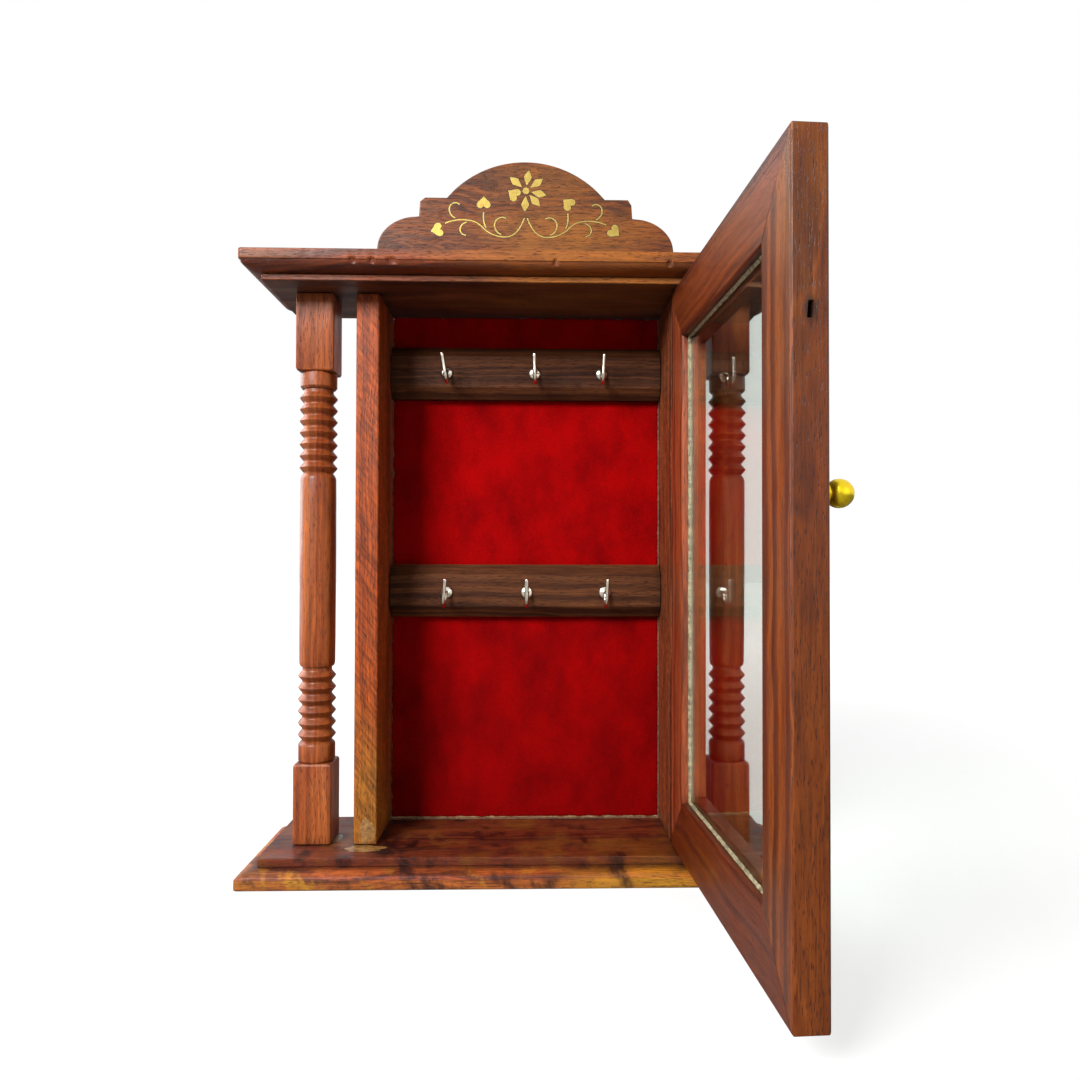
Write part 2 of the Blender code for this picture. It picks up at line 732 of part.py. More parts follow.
nail_hole = NAIL_RADIUS + NAIL_CLEARANCE
deep = NAIL_IN_DOOR + NAIL_CLEARANCE
low_drills = [
    on_door(hole("nail drill " + word, (0, 0, door_low), nail_hole, -0.002, deep))
    for word in ("low rail", "low stile")
]
high_drills = [
    on_door(hole("nail drill " + word, (0, 0, door_high), nail_hole, -deep, 0.002))
    for word in ("high rail", "high stile")
]
cut(bottom_rail, [low_drills[0], round_end("low end", door_low - 0.001, door_low + 0.01)])
cut(top_rail, [high_drills[0], round_end("high end", door_high - 0.01, door_high + 0.001)])
cut(hinge_stile, [low_drills[1], high_drills[1]])

# Glass on the lip, and the bead of putty that holds it
wall_left, wall_right = free_edge + FRAME_WIDTH, half_door - FRAME_WIDTH
wall_low, wall_high = door_low + FRAME_WIDTH, door_high - FRAME_WIDTH
glass_low = lip_top + GLUE_GAP
glass_high = glass_low + GLASS_THICKNESS
room = GLASS_CLEARANCE
low = (wall_left + room, glass_low, wall_low + room)
high = (wall_right - room, glass_high, wall_high - room)
on_door(block("door_glass", low, high, finish("glass", (0.75, 0.85, 0.78), 0, 0.03, 0.35)))


def putty_frame():
    """Rings of the putty's three-sided section at the four corners of the rebate."""
    rings = []
    foot = glass_high + FIXING_GAP
    for sx, sz in ((-1, -1), (1, -1), (1, 1), (-1, 1)):
        ring = []
        for inset, y in ((0, foot), (SEAL_WIDTH, foot), (0, foot + SEAL_HEIGHT)):
            gap = inset + GLUE_GAP
            x = wall_left + gap if sx < 0 else wall_right - gap
            z = wall_low + gap if sz < 0 else wall_high - gap
            ring.append((x, y, z))
        rings.append(ring)
    return rings


corners = putty_frame()
putty_points = [point for ring in corners for point in ring]
putty_faces = []
for k in range(4):
    for i in range(3):
        a, b = 3 * k + i, 3 * k + (i + 1) % 3
        c, d = (3 * (k + 1) + (i + 1) % 3) % 12, (3 * (k + 1) + i) % 12
        putty_faces.append((a, b, c, d))
putty = finish("glazing putty", (0.62, 0.60, 0.46), 0, 0.7)
on_door(mesh_object("glazing_putty", putty_points, putty_faces, putty))

# Knob on the front of the free stile, turned from brass, on a stud
knob_x = free_edge + KNOB_FROM_EDGE
knob_z = base_top + KNOB_RISE
face = GLUE_GAP
ball = KNOB_REACH - KNOB_RADIUS
bore = STUD_RADIUS + FIXING_GAP
knob_profile = [(0, STUD_IN_KNOB + 2 * FIXING_GAP), (bore, STUD_IN_KNOB + 2 * FIXING_GAP)]
knob_profile += [(bore, face), (KNOB_RADIUS * 0.85, face), (KNOB_RADIUS * 0.85, 0.0009)]
knob_profile += [(KNOB_RADIUS * 0.55, 0.0015), (KNOB_RADIUS * 0.5, 0.0026)]
for i in range(1, 8):
    angle = math.radians(-60 + 150 * i / 8)
    knob_profile.append((KNOB_RADIUS * math.cos(angle), ball + KNOB_RADIUS * math.sin(angle)))
knob_profile += [(0, KNOB_REACH)]
knob_at = (knob_x, -half_door, knob_z)
knob_brass = finish("knob brass", (0.85, 0.60, 0.12), 1, 0.2)
on_door(turned("door_knob", knob_profile, knob_at, knob_brass, ROUND, "-Y"))
stud_profile = [(STUD_RADIUS * 0.5, -STUD_IN_DOOR), (STUD_RADIUS, -STUD_IN_DOOR + 0.0012)]
stud_profile += [(STUD_RADIUS, STUD_IN_KNOB)]
stud_steel = finish("stud steel", nickel, 1, 0.35)
on_door(turned("knob_stud", stud_profile, knob_at, stud_steel, SMALL_ROUND, "-Y"))
stud_drill = on_door(
    hole("stud drill", knob_at, bore + FIXING_GAP, -STUD_IN_DOOR - FIXING_GAP, 0.002, SMALL_ROUND, "-Y")
)
old_hole_low = (free_edge - 0.001, -0.00075, base_top + OLD_NAIL_HOLE_RISE - 0.0023)
old_hole_high = (free_edge + 0.003, 0.00075, base_top + OLD_NAIL_HOLE_RISE + 0.0023)
old_hole = on_door(block("old nail hole", old_hole_low, old_hole_high, cutter_skin))
cut(free_stile, [stud_drill, old_hole])


# Nails that the door turns on, driven through the boards with their heads let in
def nail(name, head, point, material):
    """A nail along the pivot line, from the outside of its head to its point."""
    way = 1 if point > head else -1
    face = head + way * 0.0002
    neck = face + way * NAIL_HEAD
    profile = [(0, point), (NAIL_RADIUS, point - way * 0.0012), (NAIL_RADIUS, neck)]
    profile += [(NAIL_HEAD_RADIUS, neck), (NAIL_HEAD_RADIUS, face)]
    return turned(name, profile, (pivot_x, pivot_y, 0.0), material)


def nail_drills(name, outside, inside):
    """The hole through a board for a nail, and the recess for its head."""
    way = 1 if inside > outside else -1
    at = (pivot_x, pivot_y, 0.0)
    ends = sorted((outside - way * 0.002, inside + way * 0.002))
    shank = hole(name + " shank", at, nail_hole, *ends)
    depth = outside + way * (NAIL_HEAD + 0.0002 + FIXING_GAP)
    ends = sorted((outside - way * 0.002, depth))
    return [shank, hole(name + " recess", at, NAIL_HEAD_RADIUS + 2 * FIXING_GAP, *ends)]


nail_low = door_low + NAIL_IN_DOOR
nail_high = door_high - NAIL_IN_DOOR
nail("pivot_nail_bottom", 0.0, nail_low, finish("nail steel bottom", nickel, 1, 0.4))
nail("pivot_nail_top", cornice_top, nail_high, finish("nail steel top", nickel, 1, 0.4))
base_cuts = nail_drills("low nail", 0.0, base_top)
cornice_cuts = nail_drills("high nail", cornice_top, cornice_bottom) + dowel_drills


# Screws through the boards into the ends of the side panels
def wood_screw(name, at, point, axis, material, outside=1):
    """A countersunk screw; heights run along the axis from the face its head is let into."""
    sink = SCREW_HEAD_RADIUS - SCREW_RADIUS
    profile = [(SCREW_HEAD_RADIUS, -outside * 0.0002), (SCREW_RADIUS, -outside * (sink + 0.0002))]
    profile += [(SCREW_RADIUS, -outside * (point - 0.0015)), (0, -outside * point)]
    return turned(name, profile, at, material, SMALL_ROUND, axis)


def screw_drill(name, at, depth, axis, outside=1):
    wide = SCREW_HEAD_RADIUS + 2 * FIXING_GAP
    narrow = SCREW_RADIUS + 2 * FIXING_GAP
    mouth = 0.002
    profile = [(wide + mouth, outside * mouth), (narrow, -outside * (wide - narrow + 2 * FIXING_GAP))]
    profile += [(narrow, -outside * depth)]
    return turned(name, profile, at, cutter_skin, SMALL_ROUND, axis)


screw_y = panel_front + PANEL_DEPTH * 0.55
base_reach = base_top + SCREW_IN_PANEL
cornice_reach = cornice_top - cornice_bottom + SCREW_IN_PANEL
for side, word, panel in ((-1, "left", panels[0]), (1, "right", panels[1])):
    x = side * (inner + outer) / 2
    steel = finish("screw steel " + word, nickel, 1, 0.4)
    under = (x, screw_y, 0.0)
    above = (x, screw_y, cornice_top)
    wood_screw("base_screw_" + word, under, base_reach, "Z", steel, -1)
    wood_screw("cornice_screw_" + word, above, cornice_reach, "Z", steel, 1)
    base_cuts.append(screw_drill("base screw " + word, under, base_top + 0.002, "Z", -1))
    high_depth = cornice_top - cornice_bottom + 0.002
    cornice_cuts.append(screw_drill("cornice screw " + word, above, high_depth, "Z", 1))
    pilot = SCREW_RADIUS + 2 * FIXING_GAP
    low_end = base_reach + FIXING_GAP
    high_end = -cornice_reach - FIXING_GAP
    drills = [hole("low pilot " + word, under, pilot, base_top - 0.002, low_end, SMALL_ROUND)]
    drills += [
        hole("high pilot " + word, above, pilot, high_end, cornice_bottom - cornice_top + 0.002, SMALL_ROUND)
    ]
    cut(panel, drills)
    wide = SPIGOT_RADIUS + 2 * FIXING_GAP
    spot = (side * pillar_x, pillar_y, 0.0)
    tall = SPIGOT_LENGTH + FIXING_GAP
    low_spigot = (base_top - tall, base_top + 0.002)
    high_spigot = (cornice_bottom - 0.002, cornice_bottom + tall)
    base_cuts.append(hole("low spigot " + word, spot, wide, *low_spigot))
    cornice_cuts.append(hole("high spigot " + word, spot, wide, *high_spigot))


# Brass hangers let into the back edge of the cornice, with an eye above it
def hanger_outline(grow):
    half = HANGER_WIDTH / 2 + grow
    low, high = 0.001 - grow, HANGER_HEIGHT + grow
    outline = [(-half, low), (half, low)]
    for i in range(9):
        angle = math.radians(180 * i / 8)
        outline.append((half * math.cos(angle), high - half + half * math.sin(angle)))
    return outline


hanger_back = back - 0.0012
hanger_front = hanger_back - HANGER_THICKNESS
cornice_middle = (cornice_bottom + cornice_top) / 2
for side, word in ((-1, "left"), (1, "right")):
    x = side * HANGER_SPACING / 2
    shape = [(x + u, cornice_bottom + w) for u, w in hanger_outline(0.0)]
    plate = sawn("hanger_" + word, shape, hanger_front, hanger_back, finish("hanger " + word, brass, 1, 0.4))
    eye_z = cornice_bottom + HANGER_HEIGHT - HANGER_WIDTH / 2
    eye = hole("eye " + word, (x, back, eye_z), HANGER_EYE_RADIUS, -0.002, 0.004, ROUND, "-Y")
    at = (x, hanger_back, cornice_middle)
    plate_hole = hole("plate hole " + word, at, SCREW_RADIUS + 2 * FIXING_GAP, -0.002, 0.004, SMALL_ROUND, "-Y")
    cut(plate, [eye, plate_hole])
    outline = [(x + u, cornice_bottom + w) for u, w in hanger_outline(GLUE_GAP)]
    seat = sawn("hanger seat " + word, outline, hanger_front - FIXING_GAP, back + 0.002, cutter_skin)
    steel = finish("hanger screw " + word, nickel, 1, 0.4)
    head = (x, back, cornice_middle)
    profile = [(0, 0.0120), (SCREW_RADIUS, 0.0105), (SCREW_RADIUS, 0.0011)]
    profile += [(HANGER_SCREW_HEAD, 0.0011), (HANGER_SCREW_HEAD, 0.0002)]
    pilot = hole("hanger pilot " + word, head, SCREW_RADIUS + 2 * FIXING_GAP, 0.0, 0.0121, SMALL_ROUND, "-Y")
    turned("hanger_screw_" + word, profile, head, steel, SMALL_ROUND, "-Y")
    cornice_cuts += [seat, pilot]

cut(base_board, base_cuts)
cut(cornice_board, cornice_cuts)
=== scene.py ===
import json
import math
import random

import bmesh
import bpy
from mathutils import Matrix, Vector, noise

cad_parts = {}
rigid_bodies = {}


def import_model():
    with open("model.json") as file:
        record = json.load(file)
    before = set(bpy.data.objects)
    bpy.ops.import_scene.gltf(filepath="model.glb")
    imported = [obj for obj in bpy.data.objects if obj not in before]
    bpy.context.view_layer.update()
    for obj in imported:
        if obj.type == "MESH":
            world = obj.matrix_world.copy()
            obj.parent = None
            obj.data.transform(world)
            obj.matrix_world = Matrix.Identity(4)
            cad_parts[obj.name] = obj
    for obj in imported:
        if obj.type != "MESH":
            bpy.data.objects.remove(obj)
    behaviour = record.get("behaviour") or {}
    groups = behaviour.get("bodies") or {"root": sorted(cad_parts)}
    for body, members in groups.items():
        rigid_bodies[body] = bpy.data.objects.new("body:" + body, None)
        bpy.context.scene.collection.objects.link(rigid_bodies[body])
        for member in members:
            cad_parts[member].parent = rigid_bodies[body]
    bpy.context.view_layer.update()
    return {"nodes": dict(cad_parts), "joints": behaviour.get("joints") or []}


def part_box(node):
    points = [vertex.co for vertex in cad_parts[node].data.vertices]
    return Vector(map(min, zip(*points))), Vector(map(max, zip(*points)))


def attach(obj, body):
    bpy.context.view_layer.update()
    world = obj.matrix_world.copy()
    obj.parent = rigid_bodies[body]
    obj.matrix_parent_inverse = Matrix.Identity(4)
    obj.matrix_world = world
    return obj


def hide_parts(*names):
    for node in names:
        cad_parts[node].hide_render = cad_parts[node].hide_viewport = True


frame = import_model()
cadNodes = frame["nodes"]
mm = 0.001


# Where things are, in mm, all read from the frame
def boxOf(node):
    low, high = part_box(node)
    return low / mm, high / mm


baseLow, baseHigh = boxOf("base_board")
corniceLow, corniceHigh = boxOf("cornice_board")
panelFront = boxOf("side_panel_left")[0].y
velvetLow, velvetHigh = boxOf("velvet_lining")
crestLow, crestHigh = boxOf("crest_board")
baseTop = baseHigh.z
corniceBottom = corniceLow.z
frontY, backY = baseLow.y, baseHigh.y
boardHalf = baseHigh.x

# The door: its own upright coordinates have x 0 at the pivot nails and y 0 in the middle of its thickness
pivotJoint = frame["joints"][0]
openAngle = -pivotJoint["range_deg"][0]
pivotPlace = Vector(pivotJoint["pos_m"]) / mm
doorPlace = Matrix.Translation((pivotPlace.x, pivotPlace.y, 0)) @ Matrix.Rotation(math.radians(openAngle), 4,
    "Z")


def doorBoxOf(node):
    back = doorPlace.inverted()
    corners = [back @ (vertex.co / mm) for vertex in cadNodes[node].data.vertices]
    low = Vector([min(c[k] for c in corners) for k in range(3)])
    return low, Vector([max(c[k] for c in corners) for k in range(3)])


# Camera and light
eye = dict(
    place=(3.2, -362.9, 131.3),          # mm
    pan=-1.49, tilt=0.88, roll=-0.12,    # degrees
    lens=27.8, shiftX=-0.0134, shiftY=0.0046,
)
lamps = dict(
    key=dict(place=(-560, -780, 650), size=(420, 420), power=20),
    fill=dict(place=(700, -900, 260), size=(900, 900), power=1.6),
    edge=dict(place=(-700, 300, 420), size=(500, 800), power=7),
)
room = dict(
    sky=0.12, gleam=0.9, seen=1.0,       # how bright it is for dull surfaces, for gloss, and to the eye
    floor="#f4f3f1", floorBounce="#8a8784", floorSeen=0.72, floorSize=8000,
    glow=(1.05, 1.5), glowReach=(200, 900),
)

cameraData = bpy.data.cameras.new("camera")
cameraData.lens = eye["lens"]
cameraData.shift_x, cameraData.shift_y = eye["shiftX"], eye["shiftY"]
cameraData.clip_start, cameraData.clip_end = 0.01, 50
camera = bpy.data.objects.new("camera", cameraData)
bpy.context.scene.collection.objects.link(camera)
aim = Matrix.Rotation(math.radians(eye["pan"]), 4, "Z") @ Matrix.Rotation(math.radians(eye["tilt"]), 4, "X")
aim = aim @ Matrix.Rotation(math.radians(eye["roll"]), 4, "Y") @ Matrix.Rotation(math.radians(90), 4, "X")
camera.matrix_world = Matrix.Translation(Vector(eye["place"]) * mm) @ aim
bpy.context.scene.camera = camera

for lampName, lamp in lamps.items():
    lampData = bpy.data.lights.new(lampName, "AREA")
    lampData.shape = "RECTANGLE"
    lampData.size, lampData.size_y = (side * mm for side in lamp["size"])
    lampData.energy = lamp["power"]
    lampObject = bpy.data.objects.new(lampName, lampData)
    bpy.context.scene.collection.objects.link(lampObject)
    towards = Vector((0, 0, 130)) - Vector(lamp["place"])
    lampObject.location = Vector(lamp["place"]) * mm
    lampObject.rotation_euler = towards.to_track_quat("-Z", "Y").to_euler()

bpy.context.scene.view_settings.view_transform = "Standard"
print("camera and", len(lamps), "lamps")


# Materials
def linear(colour):
    parts = [int(colour[i:i + 2], 16) / 255 for i in (1, 3, 5)]
    return [c / 12.92 if c <= 0.04045 else ((c + 0.055) / 1.055) ** 2.4 for c in parts] + [1.0]


# Fills a node's inputs with numbers, "#rrggbb" colours, other nodes or their sockets. A list goes by the
# order of the inputs, a dictionary by their names.
def fill(tree, made, inputs):
    for key, value in inputs.items() if isinstance(inputs, dict) else enumerate(inputs):
        if isinstance(value, bpy.types.Node):
            value = value.outputs[0]
        if isinstance(value, bpy.types.NodeSocket):
            tree.links.new(value, made.inputs[key])
        else:
            made.inputs[key].default_value = linear(value) if isinstance(value, str) else value


# Adds a node with its settings and links. Stops are those of a colour ramp.
def put(tree, kind, inputs=(), stops=(), **settings):
    made = tree.nodes.new("ShaderNode" + kind)
    for setting, value in settings.items():
        setattr(made, setting, value)
    fill(tree, made, inputs)
    for i, (position, colour) in enumerate(stops):
        stop = made.color_ramp.elements[i] if i < 2 else made.color_ramp.elements.new(position)
        stop.position, stop.color = position, linear(colour)
    return made


# A white cloth round the object: white where it is seen, also through the glass, but it lights only a little
world = bpy.data.worlds.new("studio")
world.use_nodes = True
worldTree = world.node_tree
worldRay = put(worldTree, "LightPath")
seen = put(worldTree, "Math", [worldRay.outputs["Is Camera Ray"], worldRay.outputs["Is Transmission Ray"]],
    operation="MAXIMUM")
dim = put(worldTree, "MapRange", [worldRay.outputs["Is Glossy Ray"], 0, 1, room["sky"], room["gleam"]])
shine = put(worldTree, "MapRange", [seen, 0, 1, dim, room["seen"]])
fill(worldTree, worldTree.nodes["Background"], ["#ffffff", shine])
bpy.context.scene.world = world


# A new material, with its place on the object in mm
def newMaterial(name):
    material = bpy.data.materials.new(name)
    material.use_nodes = True
    tree = material.node_tree
    place = put(tree, "TexCoord").outputs["Object"]
    inMm = put(tree, "Mapping", {"Vector": place, "Scale": (1000, 1000, 1000)})
    return material, tree, tree.nodes["Principled BSDF"], inMm


# Sheesham, planed or sawn by hand, wiped with oil stain and a thin coat of varnish: it keeps open pores,
# dark growth lines and a soft gloss. Lengths are in mm, and the first coordinate runs along the grain.
sheeshamLook = dict(
    grain="x",
    cut=(0, 30, 22),             # where in the tree this board was sawn
    ring=5.5,                    # from one growth line to the next
    wander=16.0,                 # how far the growth lines stray
    dark="#35130c", brown="#74341d", warm="#a3552f", gold="#b98138",
    sapwood=0.0, goldAt=(0, 0, 0), goldReach=1.0,
    blotches=0.25,               # purple-brown patches, where the stain sank in
    flames=0.0,                  # dark and golden bars across the grain, where a knot was near
    lines=0.7, fibre=0.45, pores=0.7,
    rubbed=None,                 # (low z, high z, stops): colour multiplied by a ramp over height; painted shade where it darkens the cornice's underside
    sawMarks=0.0, sawSlant=-54,
    stainAt=None, stainReach=(1, 1, 1),
    roughness=0.48, shine=0.25, varnish=0.10,
)
grainTurns = {"x": (0, 0, 0), "z": (0, math.radians(90), 0), "door": (0, 0, -math.radians(openAngle))}


def sheesham(name, **changes):
    look = {**sheeshamLook, **changes}
    material, tree, shader, inMm = newMaterial(name)
    board = put(tree, "Mapping", {"Vector": inMm, "Rotation": grainTurns[look["grain"]],
        "Location": look["cut"]})

    def stretched(along, across):
        return put(tree, "VectorMath", [board, (along, across, across)], operation="MULTIPLY")

    # growth rings round the heart of the tree, drawn out along the grain
    stray = put(tree, "TexNoise", [stretched(0.011, 0.035), 0, 1, 3, 0.55])
    reach = put(tree, "VectorMath", [stretched(0.035, 1.0)], operation="LENGTH")
    bent = put(tree, "Math", [stray, look["wander"], reach.outputs["Value"]], operation="MULTIPLY_ADD")
    ringPlace = put(tree, "Math", [bent, 1 / look["ring"]], operation="MULTIPLY")
    rings = put(tree, "TexNoise", {"W": ringPlace, "Scale": 1, "Detail": 3, "Roughness": 0.6},
        noise_dimensions="1D")
    figure = put(tree, "ValToRGB", [rings], stops=[(0.33, look["dark"]), (0.43, look["brown"]),
        (0.50, look["warm"]), (0.59, look["brown"]), (0.66, look["dark"])])
    plain = put(tree, "TexNoise", [stretched(0.015, 0.12), 0, 1, 4, 0.6])
    ground = put(tree, "ValToRGB", [plain], stops=[(0.35, look["brown"]), (0.62, look["warm"])])
    colour = put(tree, "MixRGB", [look["lines"], ground, figure])

    # sapwood, in patches and round one place where the board has it
    patch = put(tree, "TexNoise", [stretched(0.012, 0.06), 0, 1, 3])
    away = put(tree, "VectorMath", [inMm, look["goldAt"]], operation="DISTANCE")
    near = put(tree, "MapRange", [away.outputs["Value"], look["goldReach"], 0.0])
    both = put(tree, "Math", [near, 0.55, patch], operation="MULTIPLY_ADD")
    edge = 0.78 - 0.35 * look["sapwood"]
    golden = put(tree, "MapRange", [both, edge - 0.08, edge + 0.22])
    goldWood = put(tree, "MixRGB", [0.72, colour, look["gold"]])
    colour = put(tree, "MixRGB", [golden, colour, goldWood])
    sunk = put(tree, "TexNoise", [stretched(0.035, 0.11), 0, 1, 4, 0.6])
    blotch = put(tree, "MapRange", [sunk, 0.50, 0.68, 0, look["blotches"]])
    colour = put(tree, "MixRGB", [blotch, colour, look["dark"]])

    if look["flames"]:
        across = put(tree, "Mapping", {"Vector": inMm, "Rotation": (0, math.radians(24), 0)})
        bars = put(tree, "TexNoise", [put(tree, "VectorMath", [across, (0.085, 0.05, 0.04)],
            operation="MULTIPLY"), 0, 1, 5, 0.62])
        dusk = put(tree, "MapRange", [bars, 0.47, 0.36, 0, look["flames"]])
        colour = put(tree, "MixRGB", [dusk, colour, look["dark"]])
        dawn = put(tree, "MapRange", [bars, 0.53, 0.64, 0, look["flames"]])
        colour = put(tree, "MixRGB", [dawn, colour, look["gold"]])

    # fibres 0.7 mm wide, broader than in life so that they show, and open pores 3 mm long
    fibres = put(tree, "TexNoise", [stretched(0.05, 1.5), 0, 1, 4, 0.75])
    shade = put(tree, "MapRange", [fibres, 0.3, 0.7, 1 - look["fibre"], 1 + look["fibre"] * 0.6])
    colour = put(tree, "MixRGB", [1.0, colour, shade], blend_type="MULTIPLY")
    poreNoise = put(tree, "TexNoise", [stretched(0.30, 3.2), 0, 1, 1])
    pores = put(tree, "MapRange", [poreNoise, 0.60, 0.68])
    poreShade = put(tree, "Math", [pores, look["pores"]], operation="MULTIPLY")
    colour = put(tree, "MixRGB", [poreShade, colour, look["dark"]])

    # painted shade: ambient occlusion darkens the colour in corners, valleys and recesses, standing also for
    # the old polish and dust gathered there
    corner = put(tree, "AmbientOcclusion", {"Distance": 0.005}, samples=6)
    grimeAndShade = put(tree, "MapRange", [corner.outputs["AO"], 0.25, 0.95, 0.42, 1.0])
    colour = put(tree, "MixRGB", [1.0, colour, grimeAndShade], blend_type="MULTIPLY")
    if look["sawMarks"]:      # long strokes of the saw, slanting down across the face
        slanted = put(tree, "Mapping", {"Vector": inMm, "Rotation": (0, math.radians(look["sawSlant"]), 0)})
        drawn = put(tree, "VectorMath", [slanted, (0.09, 0.3, 1.0)], operation="MULTIPLY")
        saw = put(tree, "TexNoise", [drawn, 0, 1, 3, 0.65])
        deep = look["sawMarks"]
        kerf = put(tree, "MapRange", [saw, 0.35, 0.65, 1 - 0.5 * deep, 1 + 0.35 * deep])
        colour = put(tree, "MixRGB", [1.0, colour, kerf], blend_type="MULTIPLY")
    # colour multiplied by a ramp over height; on the cornice this is painted shade on the ovolo and the
    # underside
    if look["rubbed"]:
        low, high, stops = look["rubbed"]
        height = put(tree, "SeparateXYZ", [inMm]).outputs["Z"]
        share = put(tree, "MapRange", [height, low, high])
        shade = put(tree, "ValToRGB", [share], stops=stops)
        colour = put(tree, "MixRGB", [1.0, colour, shade], blend_type="MULTIPLY")
    if look["stainAt"]:
        off = put(tree, "VectorMath", [inMm, look["stainAt"]], operation="SUBTRACT")
        oval = put(tree, "VectorMath", [off, [1 / r for r in look["stainReach"]]], operation="MULTIPLY")
        length = put(tree, "VectorMath", [oval], operation="LENGTH")
        stain = put(tree, "MapRange", [length.outputs["Value"], 1.0, 0.45, 0, 0.85])
        colour = put(tree, "MixRGB", [stain, colour, "#1a0b07"])

    gloss = put(tree, "TexNoise", [stretched(0.03, 0.15), 0, 1, 2])
    rough = put(tree, "MapRange", [gloss, 0.3, 0.7, look["roughness"] - 0.08, look["roughness"] + 0.10])

    # relief: the fibres, the pores, and the ripple that hand sanding leaves
    relief = put(tree, "Bump", {"Height": fibres, "Distance": 0.00006, "Strength": 0.8})
    relief = put(tree, "Bump", {"Height": pores, "Distance": 0.00010, "Strength": 0.8, "Normal": relief},
        invert=True)
    ripple = put(tree, "TexNoise", [stretched(0.06, 0.12), 0, 1, 1])
    relief = put(tree, "Bump", {"Height": ripple, "Distance": 0.0006, "Strength": 0.5, "Normal": relief})
    if look["sawMarks"]:
        relief = put(tree, "Bump", {"Height": saw, "Distance": 0.00025, "Strength": look["sawMarks"],
            "Normal": relief})
    fill(tree, shader, {"Base Color": colour, "Roughness": rough, "Specular IOR Level": look["shine"],
        "Coat Weight": look["varnish"], "Coat Roughness": 0.3, "Normal": relief})
    return material


# Metals: brass, nickel plate and steel, each turned, rolled or drawn. Tarnish lies in soft patches.
metalLook = dict(bright="#d9b45a", dull="#8f6f2c", roughness=0.28, tarnish=0.35, scratch=0.35, grit=0.5)


def metal(name, **changes):
    look = {**metalLook, **changes}
    material, tree, shader, inMm = newMaterial(name)
    patches = put(tree, "TexNoise", [inMm, 0, 0.45, 4, 0.65])
    dulled = put(tree, "MapRange", [patches, 0.42, 0.72, 0, look["tarnish"]])
    colour = put(tree, "MixRGB", [dulled, look["bright"], look["dull"]])
    fine = put(tree, "TexNoise", [put(tree, "Mapping", {"Vector": inMm, "Scale": (0.8, 0.8, 6.0)}), 0,
        look["grit"], 3])
    rough = put(tree, "MapRange", [fine, 0, 1, look["roughness"] - 0.08, look["roughness"] + 0.14])
    relief = put(tree, "Bump", {"Height": fine, "Distance": 0.00003, "Strength": look["scratch"]})
    fill(tree, shader, {"Base Color": colour, "Metallic": 1.0, "Roughness": rough, "Normal": relief})
    return material


# Cotton velvet, glued down and brushed by hand: the pile leans in patches, dark one way and bright the other.
velvetLook = dict(deep="#6b0002", bright="#940102", sheen="#ff0a08", patch=13.0, pile=0.55)


def velvet(name):
    look = velvetLook
    material, tree, shader, inMm = newMaterial(name)
    brushed = put(tree, "Mapping", {"Vector": inMm, "Scale": (1 / look["patch"], 1, 0.6 / look["patch"])})
    lean = put(tree, "TexNoise", [brushed, 0, 1, 3, 0.55])
    tufts = put(tree, "TexNoise", [inMm, 0, 1 / look["pile"], 2])
    mixed = put(tree, "Math", [tufts, 0.55, lean], operation="MULTIPLY_ADD")
    colour = put(tree, "ValToRGB", [mixed], stops=[(0.50, look["deep"]), (0.95, look["bright"])])
    # the velvet is darker towards the bottom
    darkerLow = put(tree, "MapRange", [put(tree, "SeparateXYZ", [inMm]).outputs["Z"], 20.0, 150.0, 0.70, 1.0])
    colour = put(tree, "MixRGB", [1.0, colour, darkerLow], blend_type="MULTIPLY")
    relief = put(tree, "Bump", {"Height": tufts, "Distance": 0.0003, "Strength": 0.6})
    fill(tree, shader, {"Base Color": colour, "Roughness": 0.9, "Specular IOR Level": 0.04,
        "Sheen Weight": 0.25, "Sheen Roughness": 0.35, "Sheen Tint": look["sheen"], "Normal": relief})
    return material


# Drawn sheet glass, cut to size: clear with a green tint, wiped with a dusty cloth.
def windowGlass(name):
    material, tree, shader, inMm = newMaterial(name)
    wiped = put(tree, "TexNoise", [inMm, 0, 0.04, 5, 0.7])
    rough = put(tree, "MapRange", [wiped, 0.5, 0.8, 0, 0.05])
    fill(tree, shader, {"Roughness": rough, "Base Color": "#eff8f0", "Transmission Weight": 1.0, "IOR": 1.52})
    clear = put(tree, "BsdfTransparent", {"Color": "#e6f2e8"})
    ray = put(tree, "LightPath").outputs["Is Shadow Ray"]
    blend = put(tree, "MixShader", [ray, shader, clear])
    fill(tree, tree.nodes["Material Output"], {"Surface": blend})
    return material


# Plain stuff that sets by itself: putty, glue, lac. Lumpy, in two shades.
def setStuff(name, pale, deep, size, roughness, depth=0.0002, coat=0.0):
    material, tree, shader, inMm = newMaterial(name)
    lumps = put(tree, "TexNoise", [inMm, 0, 1 / size, 4, 0.65])
    colour = put(tree, "ValToRGB", [lumps], stops=[(0.35, deep), (0.62, pale)])
    rough = put(tree, "MapRange", [lumps, 0, 1, roughness - 0.1, roughness + 0.1])
    relief = put(tree, "Bump", {"Height": lumps, "Distance": depth, "Strength": 0.7})
    fill(tree, shader, {"Base Color": colour, "Roughness": rough, "Coat Weight": coat, "Normal": relief})
    return material


